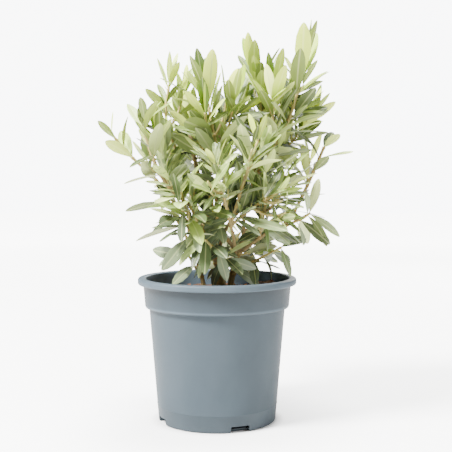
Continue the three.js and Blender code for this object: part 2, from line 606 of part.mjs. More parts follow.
const BARK = { color: 0x8a7350, roughness: 0.85 };
const LEAFAGE = { color: 0x93a46c, roughness: 0.6 };
const PLASTIC = { color: 0x8b969e, roughness: 0.5 };
const PEAT = { color: 0x4a3526, roughness: 0.95 };

const limbs = growLimbs();
const masses = growFoliage(limbs);
const cutters = [];
// What is left of a solid beside everything made before it, without edges shorter than a sliver
const besides = (solid) => cutters.reduce((left, cutter) => left.subtract(cutter), solid);
const clearOf = (solid) => mainPiece(besides(solid)).simplify(SLIVER);
for (const [name, stem] of Object.entries(limbs)) {
  addMesh(name, clearOf(limbSolid(name, stem)), BARK);
  cutters.push(limbSolid(name, stem, GAP));
}
for (const [name, { stem, twigs, leaves }] of Object.entries(masses)) {
  const wood = [stem, ...twigs].map(({ path, radius }) => tube(path, radius, MASS_SIDES));
  const parts = [...wood, ...leaves.map((leaf) => leafSolid(leaf))].map(solidOf);
  addMesh(name, clearOf(parts.reduce((whole, part) => whole.add(part))), LEAFAGE);
  cutters.push(solidOf(tube(stem.path, stem.radius, MASS_SIDES, GAP)));
}
addMesh('pot', makePot(), PLASTIC);
addMesh('soil', makeSoil(), PEAT);

export default plant;
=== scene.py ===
# %% [markdown]
# # A young olive in a nursery pot
# The real thing is a bushy olive, about half a metre tall with its pot. A trunk and two lesser stems stand
# in peaty soil, short boughs fork from them, and leafy shoots rise from the boughs. The pot is a tapered
# round one of grey-blue plastic with a collar and a rolled lip.
#
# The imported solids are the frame, and this scene dresses them. Limbs and shoots are grown by the same seeded
# rule as the solids, in millimetres, and are then drawn with finer surfaces.

# %% Load the frame
import math

import bmesh
import bpy
import numpy as np
from mathutils import Matrix, Vector, noise


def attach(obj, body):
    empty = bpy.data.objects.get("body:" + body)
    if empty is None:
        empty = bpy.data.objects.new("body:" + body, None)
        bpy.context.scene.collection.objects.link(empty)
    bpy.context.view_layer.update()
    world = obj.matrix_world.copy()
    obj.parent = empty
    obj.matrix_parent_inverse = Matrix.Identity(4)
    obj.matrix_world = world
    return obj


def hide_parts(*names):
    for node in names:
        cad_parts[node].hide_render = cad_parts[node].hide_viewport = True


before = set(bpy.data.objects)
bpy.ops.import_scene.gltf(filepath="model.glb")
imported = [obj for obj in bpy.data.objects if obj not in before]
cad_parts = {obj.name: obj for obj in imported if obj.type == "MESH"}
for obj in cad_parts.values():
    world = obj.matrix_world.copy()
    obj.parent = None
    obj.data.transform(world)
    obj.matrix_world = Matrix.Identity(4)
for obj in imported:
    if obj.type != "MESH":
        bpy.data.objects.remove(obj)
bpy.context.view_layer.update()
MM = 0.001
print("solids in the frame:", len(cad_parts))

# %% [markdown]
# ## The growing rule
# An olive shoot carries its leaves in opposite pairs, each pair a quarter turn on from the last. Leaves near
# the tip are small, pale and upright. Older ones are longer, open wider and hang a little, and those of low
# shoots droop. One could place the leaves by hand, but a rule with seeded draws gives the same plant
# every time from a short table. The tables below say what carries each limb or shoot, the points it passes,
# its thickness and its habit.
#
# In the habit of a mass, leaf is the length of a grown leaf, first is the youngest leaf's share of it, gap is
# the distance between pairs, keep is the share of leaves that stay, and droop says how far they hang. A shoot
# with a tip_age has older leaves at its tip, and a pruned one has lost its tip.

# %% The limbs
# Height of the cut at a stem's foot, in mm
FOOT = 152.3
LIMBS = {
    "trunk": dict(way=[(6, 0, FOOT), (1, 3, 186), (-12, 9, 245), (-27, 16, 311)], thick=(10.8, 4.8),
        flare=3.2),
    "stem_left": dict(way=[(-14, -14, FOOT), (-17, -14, 168), (-25, -16, 201)], thick=(5.2, 4.2),
        flare=1.2),
    "stem_right": dict(way=[(17, -9, FOOT), (17, -10, 168), (25, -14, 200)], thick=(7.6, 6), flare=1.6),
    "bough_left": dict(on="stem_right", at=1, way=[(11, -20, 219), (-5, -26, 236)], thick=(4.8, 4)),
    "bough_right": dict(on="stem_right", at=1, way=[(39, -12, 210), (56, -8, 222), (73, -5, 228)],
        thick=(4.6, 3.6)),
    "bough_high": dict(on="stem_right", at=1, way=[(31, -8, 222), (32, -2, 244)], thick=(5, 4.2)),
    "bough_upper_left": dict(on="trunk", at=0.62, way=[(-25, 6, 269), (-35, 2, 294)], thick=(3.8, 3.2)),
    "bough_back_left": dict(on="trunk", at=0.38, way=[(-19, 32, 235), (-27, 48, 256)],
        thick=(4.4, 3.6)),
    "bough_back_right": dict(on="trunk", at=0.26, way=[(11, 28, 228), (26, 46, 247)], thick=(4.8, 3.8)),
    "bough_front": dict(on="stem_right", at=0.8, way=[(20, -34, 218), (16, -50, 235)],
        thick=(4.4, 3.6)),
}
print("limbs:", len(LIMBS))

# %% The masses of foliage, one main shoot each
FOLIAGE = {
    "foliage_left_tip": dict(on="stem_left", at=1, way=[(-38, -20, 242), (-69, -24, 285),
        (-103, -27, 318), (-127, -28, 347)], thick=4, leaf=48, first=0.45, gap=19, twigs=0, keep=0.72,
        seed=2312),
    "foliage_left": dict(on="bough_left", at=1, way=[(-25, -35, 254), (-53, -41, 277), (-71, -42, 307),
        (-83, -42, 344)], thick=3.8, leaf=50, pruned=True, gap=17, twigs=1, keep=0.8, seed=520),
    "foliage_upper_left": dict(on="bough_upper_left", at=1, way=[(-51, 2, 328), (-61, 1, 364),
        (-57, 1, 401)], thick=3.2, leaf=46, first=0.85, gap=15, twigs=1, keep=0.9, seed=1334),
    "foliage_top_left": dict(on="bough_left", at=1, way=[(0, -27, 264), (2, -20, 310), (-5, -16, 348),
        (-13, -13, 389)], thick=3.8, leaf=60, first=0.98, gap=16, twigs=2, keep=0.85, seed=1401),
    "foliage_top_middle": dict(on="trunk", at=0.8, way=[(-4, 4, 311), (13, -8, 349), (20, -14, 379)],
        thick=3.2, leaf=54, first=0.85, gap=16, twigs=2, keep=0.85, seed=485),
    "foliage_top_right": dict(on="bough_high", at=1, way=[(42, 10, 280), (54, 18, 336), (52, 20, 380),
        (43, 20, 416)], thick=3.4, leaf=56, first=0.85, gap=16, twigs=2, keep=0.88, seed=306),
    "foliage_crown": dict(on="bough_high", at=1, way=[(45, -2, 287), (64, -6, 323), (86, -10, 362),
        (100, -12, 412)], thick=4, leaf=62, first=1, gap=17, twigs=1, keep=0.85, seed=2500),
    "foliage_right": dict(on="bough_right", at=1, way=[(90, -2, 246), (110, 2, 285), (128, 2, 327)],
        thick=3.6, leaf=42, pruned=True, gap=16, twigs=1, keep=0.85, seed=976),
    "foliage_right_low": dict(on="bough_right", at=1, way=[(86, -12, 235), (107, -22, 247)], thick=3,
        leaf=52, first=0.6, tip_age=5, droop=0.5, gap=14, twigs=1, keep=0.85, seed=476),
    "foliage_front_right": dict(on="bough_front", at=1, way=[(38, -56, 254), (78, -68, 279)], thick=3,
        leaf=48, first=0.42, droop=0.25, gap=15, twigs=2, keep=0.85, seed=180),
    "foliage_trunk_top": dict(on="trunk", at=1, way=[(-32, 19, 338), (-37, 24, 372)], thick=4, leaf=44,
        pruned=True, gap=13, twigs=1, keep=0.8, seed=78),
    "foliage_back_left": dict(on="bough_back_left", at=1, way=[(-43, 72, 284), (-70, 92, 338)],
        thick=3, leaf=50, first=0.42, gap=15, twigs=2, keep=0.85, seed=63),
    "foliage_back_right": dict(on="bough_back_right", at=1, way=[(52, 78, 287), (83, 98, 357)],
        thick=3.2, leaf=52, first=0.42, gap=15, twigs=2, keep=0.85, seed=114),
    "foliage_back": dict(on="trunk", at=0.72, way=[(-7, 44, 306), (12, 62, 377)], thick=3.2, leaf=52,
        first=0.42, gap=15, twigs=2, keep=0.85, seed=162),
    "foliage_front": dict(on="bough_front", at=1, way=[(11, -66, 258), (-3, -84, 310)], thick=2.8,
        leaf=48, first=0.42, droop=0.15, gap=14, twigs=1, keep=0.85, seed=146),
    "foliage_front_high": dict(on="bough_front", at=1, way=[(26, -60, 270), (47, -60, 333)], thick=3,
        leaf=50, first=0.6, gap=15, twigs=1, keep=0.85, seed=227),
    "foliage_low_front": dict(on="stem_right", at=0.5, way=[(13, -34, 192), (-13, -62, 220)],
        thick=2.4, leaf=46, first=0.7, tip_age=5, droop=0.9, gap=13, twigs=0, keep=0.9, seed=56),
    "foliage_low_left": dict(on="stem_left", at=0.7, way=[(-33, -26, 215), (-46, -31, 240),
        (-57, -35, 262)], thick=2.8, leaf=54, first=0.8, tip_age=7, droop=0.2, gap=16, twigs=0,
        keep=0.9, seed=2282),
    "foliage_low_outer": dict(on="stem_left", at=0.42, way=[(-25, -24, 184), (-33, -32, 200)],
        thick=2.4, leaf=52, first=0.7, tip_age=8, droop=0.15, gap=13, twigs=0, keep=0.95, seed=1004),
    "foliage_low_middle": dict(on="trunk", at=0.33, way=[(-10, -30, 218), (-30, -66, 258)], thick=2.6,
        leaf=50, first=0.7, tip_age=5, droop=0.4, gap=13, twigs=0, keep=0.9, seed=334),
    "foliage_low_right": dict(on="stem_right", at=0.62, way=[(41, -16, 190), (76, -26, 209)],
        thick=2.4, leaf=44, first=0.7, tip_age=6, droop=0.7, gap=13, twigs=0, keep=0.9, seed=290),
    "foliage_inner_left": dict(on="stem_left", at=0.88, way=[(-30, -34, 232), (-40, -58, 274)],
        thick=2.6, leaf=50, first=0.7, tip_age=3, droop=0.1, gap=13, twigs=1, keep=0.92, seed=475),
    "foliage_inner_right": dict(on="bough_right", at=0.55, way=[(54, -30, 244), (60, -50, 284)],
        thick=2.6, leaf=50, first=0.7, tip_age=3, droop=0.15, gap=13, twigs=1, keep=0.92, seed=561),
    "foliage_inner_middle": dict(on="bough_left", at=0.45, way=[(2, -44, 240), (-8, -58, 270)],
        thick=2.4, leaf=50, first=0.7, tip_age=4, droop=0.3, gap=13, twigs=0, keep=0.92, seed=242),
    "foliage_low_back": dict(on="trunk", at=0.22, way=[(8, 30, 186), (29, 76, 220)], thick=2.8,
        leaf=50, first=0.7, tip_age=5, droop=0.5, gap=14, twigs=1, keep=0.9, seed=42),
}
print("masses of foliage:", len(FOLIAGE))

# %% [markdown]
# Draws come from a small generator written out here, so that the solids and this scene share every draw.
# A stem is a smooth curve through its points, walked by the distance from its start.

# %% Draws, directions and stems
UP = np.array((0.0, 0.0, 1.0))
WHOLE = 0xFFFFFFFF
STRIDE = 0x6D2B79F5
# The swelling at a stem's foot fades over this distance, in mm
FLARE_REACH = 7


def draws(seed):
    """A repeatable row of draws between 0 and 1."""
    state = seed & WHOLE

    def draw():
        nonlocal state
        state = (state + STRIDE) & WHOLE
        t = ((state ^ (state >> 15)) * (1 | state)) & WHOLE
        t = ((t + (((t ^ (t >> 7)) * (61 | t)) & WHOLE)) & WHOLE) ^ t
        return ((t ^ (t >> 14)) & WHOLE) / (WHOLE + 1)
    return draw


def upward(luck, least, more):
    """A draw that adds up to so much to the least."""
    return least + more * luck()


def either_way(luck, width):
    """A draw to either side of nought, from a band of this width."""
    return (luck() - 0.5) * width


def unit(v):
    return v / math.sqrt(float(v @ v))


def cross(a, b):
    return np.array((a[1] * b[2] - a[2] * b[1], a[2] * b[0] - a[0] * b[2], a[0] * b[1] - a[1] * b[0]))


def turned(v, axis, angle):
    """The vector turned about an axis, which has to be a unit vector."""
    c, s = math.cos(angle), math.sin(angle)
    return v * c + cross(axis, v) * s + axis * (float(axis @ v) * (1 - c))


def square_to(way):
    """A side direction square to the way a stem runs."""
    return unit(cross(way, UP if abs(way[2]) < 0.9 else np.array((1.0, 0.0, 0.0))))


def smooth(points, steps):
    """A curve through the points, in short straight pieces."""
    pts = [np.array(p, float) for p in points]
    ends = [pts[0] * 2 - pts[1]] + pts + [pts[-1] * 2 - pts[-2]]
    out = []
    for i in range(len(pts) - 1):
        a, b, c, d = ends[i:i + 4]
        for k in range(steps):
            t = k / steps
            out.append((b * 2 + (c - a) * t + (a * 2 - b * 5 + c * 4 - d) * t * t
                        + (b * 3 - a - c * 3 + d) * t * t * t) / 2)
    return out + [pts[-1]]


class Stem:
    """A curve with its thickness, walked by the distance from its start."""

    def __init__(self, points, steps, thick, flare=0.0):
        self.points = points
        self.thick = thick
        self.flare = flare
        self.path = smooth(points, steps)
        self.run = [0.0]
        for a, b in zip(self.path, self.path[1:]):
            self.run.append(self.run[-1] + float(np.linalg.norm(b - a)))
        self.long = self.run[-1]
        self.radius = [self.half_at(d) for d in self.run]

    def half_thick(self, share):
        """Half the thickness at a share of the way, without the swelling at the foot."""
        return (self.thick[0] + (self.thick[1] - self.thick[0]) * share) / 2

    def half_at(self, d):
        return self.half_thick(d / self.long) + self.flare * math.exp(-d / FLARE_REACH)

    def at(self, d):
        """The point at a distance from the start, and the way the stem runs there."""
        i = 1
        while i < len(self.path) - 1 and self.run[i] < d:
            i += 1
        part = (d - self.run[i - 1]) / (self.run[i] - self.run[i - 1])
        step = self.path[i] - self.path[i - 1]
        return self.path[i - 1] + step * part, unit(step)


limbs = {}
for name, limb in LIMBS.items():
    way = list(limb["way"])
    if "on" in limb:
        way = [limbs[limb["on"]].at(limb["at"] * limbs[limb["on"]].long)[0]] + way
    limbs[name] = Stem(way, 2, limb["thick"], limb.get("flare", 0.0))
print("longest limb, mm:", round(max(limb.long for limb in limbs.values())))

# %% [markdown]
# A leaf or twig that would cut into another, or leave the plant's own room, is set again or left out. The
# test is plain geometry: does an edge of one thin shape pass through a face of the other? Real leaves push
# each other aside in the same way.

# %% Shapes to keep clear of
# Masses and limbs stay this far apart, in mm
CLEAR = 0.25
# Where the blade's two pairs of edge points stand: share of its length, share of its half width
LEAF_EDGES = ((0.30, 0.86), (0.66, 0.92))
# Where its underside is lowest, and its thickness: at least so many mm, or this share of its length
KEEL_AT = 0.42
LEAST_THICK, THICK_SHARE = 0.8, 0.014
LEAF_FACES = np.array([(0, 1, 2), (1, 4, 2), (1, 3, 4), (3, 6, 4), (0, 5, 1), (0, 2, 5), (1, 5, 3), (2, 4, 5),
                       (3, 5, 6), (4, 6, 5)])


def tube_shape(path, radius, sides, grow):
    """A short prism round a piece of stem."""
    side = None
    verts = []
    for i, point in enumerate(path):
        way = unit(path[min(len(path) - 1, i + 1)] - path[max(0, i - 1)])
        side = square_to(way) if side is None else unit(side - way * float(side @ way))
        up = cross(side, way)
        for k in range(sides):
            turn = 2 * math.pi * k / sides
            reach = radius[i] + grow
            verts.append(point + side * (reach * math.cos(turn)) + up * (reach * math.sin(turn)))
    faces = []
    for k in range(sides):
        a, b = k, (k + 1) % sides
        faces += [(a, b + sides, b), (a, a + sides, b + sides)]
    for k in range(1, sides - 1):
        faces += [(0, k, k + 1), (sides, sides + k + 1, sides + k)]
    return np.array(verts), np.array(faces)


def midrib(leaf, t):
    """A point on the midrib, the way it runs there, and the side the upper face looks."""
    turn = leaf["bend"] * t
    x = math.sin(turn) / leaf["bend"] * leaf["long"]
    y = (math.cos(turn) - 1) / leaf["bend"] * leaf["long"]
    return (leaf["base"] + leaf["aim"] * x + leaf["face"] * y,
            leaf["aim"] * math.cos(turn) - leaf["face"] * math.sin(turn),
            leaf["face"] * math.cos(turn) + leaf["aim"] * math.sin(turn))


def leaf_shape(leaf, grow, start):
    """The leaf as a thin ten-faced blade."""
    across = cross(leaf["aim"], leaf["face"])
    thick = max(LEAST_THICK, THICK_SHARE * leaf["long"])
    verts = [leaf["base"] + leaf["aim"] * start]
    for t, share in LEAF_EDGES:
        point, way, face = midrib(leaf, t)
        half = leaf["wide"] / 2 * share + grow
        middle = point + face * grow
        verts += [middle + across * half, middle - across * half]
    point, way, face = midrib(leaf, KEEL_AT)
    verts.append(point - face * (2 * thick + grow))
    point, way, face = midrib(leaf, 1)
    verts.append(point + way * grow)
    return np.array(verts), LEAF_FACES


class Room:
    """A shape that later growth keeps clear of."""

    def __init__(self, shape, mass):
        self.verts, self.faces = shape
        pairs = {tuple(sorted((f[i], f[(i + 1) % 3]))) for f in self.faces for i in range(3)}
        self.edges = np.array(sorted(pairs))
        self.mass = mass
        self.low, self.high = self.verts.min(0), self.verts.max(0)


def pierces(one, other):
    """True where an edge of one passes through a face of the other."""
    start = one.verts[one.edges[:, 0]]
    ray = one.verts[one.edges[:, 1]] - start
    corner = other.verts[other.faces[:, 0]]
    side1 = other.verts[other.faces[:, 1]] - corner
    side2 = other.verts[other.faces[:, 2]] - corner
    h = np.cross(ray[:, None], side2[None])
    scale = (side1[None] * h).sum(-1)
    real = np.abs(scale) > 1e-12
    inverse = 1 / np.where(real, scale, 1)
    off = start[:, None] - corner[None]
    u = (off * h).sum(-1) * inverse
    k = np.cross(off, side1[None])
    v = (ray[:, None] * k).sum(-1) * inverse
    t = (side2[None] * k).sum(-1) * inverse
    return bool((real & (u >= 0) & (v >= 0) & (u + v <= 1) & (t >= 0) & (t <= 1)).any())


def touch(one, other):
    near = (one.low <= other.high).all() and (other.low <= one.high).all()
    return bool(near) and (pierces(one, other) or pierces(other, one))


def stem_rooms(stem, sides, mass, skip=0.0):
    rooms = []
    for i, (a, b) in enumerate(zip(stem.path, stem.path[1:])):
        start = a + unit(b - a) * skip if i == 0 and skip else a
        rooms.append(Room(tube_shape([start, b], stem.radius[i:i + 2], sides, CLEAR), mass))
    return rooms


# %% [markdown]
# Where each leaf stands is planned first, from the tip of a shoot back to its foot, because a leaf's size and
# opening follow from its age. The plan is one thing and the test for room another, so a leaf that doesn't fit
# can be set again from the same plan.

# %% Where the leaves of a shoot stand
# After this many pairs from the tip a leaf is full-grown, and after this many it is old
YOUNG_PAIRS, OLD_PAIRS = 4, 10
# The first pair stands this far from the tip, in mm
TIP_BARE = 1.5
# A later try swings a leaf round within a band this wide, and opens it within another, in radians
SWING, REOPEN = 1.4, 0.6
# The last tries are shorter too
SHORTER = 0.82
# Leaves keep above the soil, and those lower than the rim keep inside the mouth, all in mm
LOWEST_LEAF, RIM_HEIGHT, MOUTH_REACH = 160, 174, 81.5
# Drawn values have their least first and then what a draw adds: a leaf's length as a share of its habit's,
# and its breadth as a share of its length
LENGTH_DRAW, BREADTH_DRAW = (0.84, 0.28), (0.215, 0.07)
# How a leaf opens from the stem, in degrees: at the tip, more once grown, more once old, and the draw's band
OPENS, OPENS_GROWN, OPENS_OLD, OPENS_BAND = 11, 20, 34, 18
# How a side twig opens, in degrees, and its thickness at its foot and end, in mm
TWIG_OPENS, TWIG_THICK = (34, 18), (2.6, 2.0)


def leaf_plans(stem, mass, habit, bare):
    """Opposite pairs of leaves, each a quarter turn on from the last, worked from the tip back."""
    draw = draws(habit["seed"] * 7919 + 11)
    turn = draw() * math.pi
    pruned = habit.get("pruned", False)
    age = habit.get("tip_age", YOUNG_PAIRS if pruned else 0)
    droop = habit.get("droop", 0.0)
    d = stem.long - TIP_BARE
    plans = []
    while d > bare:
        point, way = stem.at(d)
        old = min(1, age / OLD_PAIRS)
        grown = min(1, age / YOUNG_PAIRS)
        for hand in (0, 1):
            luck = draws(habit["seed"] * 1009 + age * 17 + hand * 7 + 3)
            part = 1 if pruned else habit["first"] + (1 - habit["first"]) * grown
            long = habit["leaf"] * part * upward(luck, *LENGTH_DRAW)
            there = luck() < habit["keep"] or age < 2
            around = turn + hand * math.pi + either_way(luck, 0.6)
            opening = OPENS + OPENS_GROWN * grown + OPENS_OLD * old + either_way(luck, OPENS_BAND)
            slim = upward(luck, *BREADTH_DRAW)
            twist = either_way(luck, 0.8)
            bend = 0.02 + 0.12 * old + 0.4 * luck() * grown + 0.4 * droop
            if there:
                plans.append(dict(point=point, way=way, side=square_to(way), around=around,
                                  opening=math.radians(opening), long=long, slim=slim, twist=twist,
                                  bend=bend, droop=droop, old=old, age=age, mass=mass, luck=luck, stem=stem,
                                  d=d))
        d -= habit["gap"] * min(1, 0.32 + 0.68 * age / YOUNG_PAIRS) * upward(draw, 0.85, 0.3)
        turn += math.pi / 2
        age += 1
    return plans


def set_leaf(plan, attempt):
    """The leaf as its plan says; a later try swings it round and opens it differently."""
    around, opening, long = plan["around"], plan["opening"], plan["long"]
    if attempt > 0:
        around += either_way(plan["luck"], SWING)
        opening += either_way(plan["luck"], REOPEN)
    if attempt > 2:
        long *= SHORTER
    out = turned(plan["side"], plan["way"], around)
    lift = 0.12 - 0.25 * plan["old"] - plan["droop"]
    aim = unit(plan["way"] * math.cos(opening) + out * math.sin(opening) + UP * lift)
    face = unit(plan["way"] - aim * float(aim @ plan["way"]))
    face = unit(face + (UP - aim * aim[2]) * 0.4)
    face = turned(face, aim, plan["twist"])
    leaf = {key: plan[key] for key in ("bend", "age", "mass", "stem", "d")}
    leaf.update(base=plan["point"], aim=aim, face=face, long=long, wide=plan["slim"] * long)
    return leaf


def too_low(verts):
    """True where a leaf would reach into the soil, or over the rim from below."""
    low_at_rim = (verts[:, 2] < RIM_HEIGHT) & (np.hypot(verts[:, 0], verts[:, 1]) > MOUTH_REACH)
    return bool((verts[:, 2] < LOWEST_LEAF).any() or low_at_rim.any())


def side_twig(stem, habit, n, attempt):
    """A side twig leaves the stem at an angle and then lifts towards the light."""
    luck = draws(habit["seed"] * 3571 + n * 29 + attempt * 101 + 5)
    d = stem.long * (0.30 + 0.45 * (n + 0.5) / habit["twigs"] + 0.08 * (luck() - 0.5))
    point, way = stem.at(d)
    out = turned(square_to(way), way, luck() * 2 * math.pi)
    opening = math.radians(upward(luck, *TWIG_OPENS))
    aim = unit(way * math.cos(opening) + out * math.sin(opening))
    reach = (stem.long - d) * upward(luck, 0.45, 0.30) + 12
    middle = point + aim * (reach / 2)
    end = middle + unit(aim + UP * 0.35 + way * 0.3) * (reach / 2)
    return Stem([point, middle, end], 2, TWIG_THICK)


# %% [markdown]
# All wood is grown before any leaf, and the youngest leaves are set first, so that a bright tip, which the
# eye goes to, doesn't lose its place to an older leaf further in.

# %% Grow the shoots, their side twigs and the leaves of all masses
# The thin end of a pruned shoot and of a whole one, in mm
PRUNED_END, WHOLE_END = 2.8, 2.2
# No leaves stand on this much of a shoot's or a twig's foot, in mm
SHOOT_BARE, TWIG_BARE = 10, 9
TRIES = 6
LOWEST_TWIG = 165
# Leaves of a side twig, as a share of those of its shoot
TWIG_LEAF = 0.92
limb_rooms = [room for limb in limbs.values() for room in stem_rooms(limb, 6, None)]
shoots = {}
wood_rooms = []
for name, habit in FOLIAGE.items():
    start = limbs[habit["on"]].at(habit["at"] * limbs[habit["on"]].long)[0]
    end = PRUNED_END if "pruned" in habit else WHOLE_END
    shoots[name] = [Stem([start] + habit["way"], 2, (habit["thick"], end))]
    wood_rooms += stem_rooms(shoots[name][0], 3, name)

plans = []
for name, habit in FOLIAGE.items():
    stem = shoots[name][0]
    plans += leaf_plans(stem, name, habit, SHOOT_BARE)
    for n in range(habit["twigs"]):
        for attempt in range(TRIES):
            twig = side_twig(stem, habit, n, attempt)
            rooms = stem_rooms(twig, 3, name, habit["thick"] / 2 + 1.2)
            if min(room.low[2] for room in rooms) < LOWEST_TWIG:
                continue
            if any(touch(room, other) for room in rooms for other in wood_rooms + limb_rooms):
                continue
            wood_rooms += rooms
            shoots[name].append(twig)
            small = dict(habit, leaf=habit["leaf"] * TWIG_LEAF, first=habit.get("first", 1.0), pruned=False,
                         seed=habit["seed"] * 31 + n)
            plans += leaf_plans(twig, name, small, TWIG_BARE)
            break

plans.sort(key=lambda plan: plan["age"])
leaves, blade_rooms, leaf_rooms = [], [], []
for plan in plans:
    for attempt in range(TRIES):
        leaf = set_leaf(plan, attempt)
        whole = Room(leaf_shape(leaf, CLEAR, 1.5), plan["mass"])
        if too_low(whole.verts):
            continue
        blade = Room(leaf_shape(leaf, 0.1, 0.05 * leaf["long"]), plan["mass"])
        foreign = [other for other in limb_rooms + wood_rooms + leaf_rooms if other.mass != plan["mass"]]
        if any(touch(whole, other) for other in foreign):
            continue
        own = [other for other in wood_rooms + blade_rooms if other.mass == plan["mass"]]
        if any(touch(blade, other) for other in own):
            continue
        blade_rooms.append(blade)
        leaf_rooms.append(whole)
        leaves.append(leaf)
        break
print("leaves of the solids:", len(leaves), "shoots and side twigs:", sum(len(s) for s in shoots.values()))

# %% [markdown]
# ## Finer growth
# In the axils of older leaves an olive pushes short side shoots with a few small leaves. They fill the crown
# without making it larger: each is kept only where it stays within the height, width and depth of its own
# mass and clear of wood and other leaves. The test uses slimmer blades than the scene draws, so some leaves
# still brush or cross each other.

# %% Short shoots in the leaf axils
SHOOT_CHANCE = 0.96
# A short shoot: its length in mm, how far it leans from the stem, its thickness at both ends, its upturn
SHOOT_LENGTH, SHOOT_LEAN, SHOOT_THICK, SHOOT_LIFT = (9, 16), (0.5, 0.6), (1.3, 0.9), 1.1
# A small leaf: its length in mm, its breadth as a share of that, and its bend in radians
SMALL_LEAF, SMALL_BREADTH, SMALL_BEND = (34.0, 24.0), (0.20, 0.07), (0.05, 0.3)
# Pairs of small leaves: the last stands here on its shoot, each other this much lower and this much longer
LAST_PAIR, PAIR_GAP = 0.98, 0.26
LAST_LENGTH, LONGER = 0.8, 0.25
# How far a small leaf opens from its shoot, more in each lower pair, and what a draw adds, in degrees
OPENING, OPENING_MORE, OPENING_LUCK = 20, 16, 16
# Leaves less old than this, in pairs from the tip, bear no short shoot
LEAST_AGE = 3
FINE_TRIES = 12
# Room round a small leaf, in mm, for its breadth and its curl
FINE_CLEAR = 0.6
# Shoots at the rim of the crown stay open, as the photo shows them, and so do all tips
OPEN_MASSES = [
    "foliage_" + name
    for name in ("left_tip", "upper_left", "right", "low_left", "low_outer", "right_low", "low_right")
]
FINE_TOP = 400.0


def axil_shoot(leaf, luck):
    """A short shoot that starts between a leaf and its stem and turns up the stem."""
    way = leaf["stem"].at(leaf["d"])[1]
    out = unit(leaf["aim"] - way * float(way @ leaf["aim"]))
    aim = unit(way + out * upward(luck, *SHOOT_LEAN))
    long = upward(luck, *SHOOT_LENGTH)
    middle = leaf["base"] + aim * (long / 2)
    end = middle + unit(aim + UP * SHOOT_LIFT + way * 0.4) * (long / 2)
    return Stem([leaf["base"], middle, end], 2, SHOOT_THICK)


def small_leaves(shoot, mass, luck):
    """Plans for two or three pairs of small leaves near the end of a short shoot."""
    out = []
    turn = luck() * math.pi
    for pair in range(2 + int(luck() * 2)):
        d = shoot.long * (LAST_PAIR - PAIR_GAP * pair)
        point, way = shoot.at(d)
        for hand in (0, 1):
            long = upward(luck, *SMALL_LEAF) * (LAST_LENGTH + LONGER * pair)
            around = turn + hand * math.pi + luck() - 0.5
            opening = math.radians(OPENING + OPENING_MORE * pair + OPENING_LUCK * luck())
            out.append(dict(point=point, way=way, side=square_to(way), around=around, opening=opening,
                            long=long, slim=upward(luck, *SMALL_BREADTH), twist=either_way(luck, 0.9),
                            bend=upward(luck, *SMALL_BEND), droop=0.12 * luck(), old=0.35 + 0.15 * pair,
                            age=YOUNG_PAIRS + pair, mass=mass, luck=luck, stem=shoot, d=d))
        turn += math.pi / 2
    return out


reach = {}
for leaf, room in zip(leaves, leaf_rooms):
    low, high = reach.get(leaf["mass"], (room.low, room.high))
    reach[leaf["mass"]] = (np.minimum(low, room.low), np.maximum(high, room.high))


def stays_inside(room, low, high):
    """True where a small leaf keeps within its mass and clear of the soil and the rim."""
    return not (too_low(room.verts) or (room.low < low).any() or (room.high > high).any())


solid_rooms = leaf_rooms + limb_rooms + wood_rooms
short_shoots, fine_leaves, fine_rooms = [], [], []
for number, leaf in enumerate(leaves):
    luck = draws(number * 613 + 77)
    open_here = leaf["mass"] in OPEN_MASSES or leaf["base"][2] > FINE_TOP
    if leaf["age"] < LEAST_AGE or open_here or luck() > SHOOT_CHANCE:
        continue
    shoot = axil_shoot(leaf, luck)
    kept = []
    for plan in small_leaves(shoot, leaf["mass"], luck):
        for attempt in range(FINE_TRIES):
            small = set_leaf(plan, attempt)
            room = Room(leaf_shape(small, FINE_CLEAR, 1.5), leaf["mass"])
            if not stays_inside(room, *reach[leaf["mass"]]):
                continue
            if any(touch(room, other) for other in solid_rooms + fine_rooms):
                continue
            kept.append(small)
            fine_rooms.append(room)
            break
    if len(kept) > 1:
        short_shoots.append(shoot)
        fine_leaves += kept
print("short shoots:", len(short_shoots), "small leaves:", len(fine_leaves))

# %% [markdown]
# ## One leaf
# An olive leaf is narrow and leathery. Its two halves rise a little from the midrib, its margins are thin and
# it sits on a short stalk. It is green above and silvery beneath, with a pale rib. A flat card with a picture
# would do from afar, but the outline and the two faces show here, so the leaf is a thin closed blade of a few
# dozen faces, drawn once in leaf coordinates: how far along, how far across, how high and how thick.

# %% The leaf pattern
# Places along the leaf, as shares of its length
STATIONS = (0.0, 0.06, 0.14, 0.30, 0.52, 0.74, 0.89, 0.97)
SMALL_STATIONS = (0.0, 0.07, 0.20, 0.45, 0.70, 0.90)
# The stalk's end, and its width as a share of the widest
STALK_END, STALK_SHARE = 0.06, 0.11
# A leaf is widest past its middle, and its sides are fuller than a plain arch
SHIFT, FULLNESS = 1.15, 0.64
# Across the upper face: how far out as a share of the half width, and how high
SECTION = ((-1.0, 0.07), (-0.5, 0.10), (0.0, -0.04), (0.5, 0.10), (1.0, 0.07))


def blade_share(t):
    """Half width at t as a share of the widest: a slim stalk, then a long ellipse with pointed ends."""
    if t <= STALK_END:
        return STALK_SHARE
    s = (t - STALK_END) / (1 - STALK_END)
    return max(STALK_SHARE, math.sin(math.pi * s ** SHIFT) ** FULLNESS)


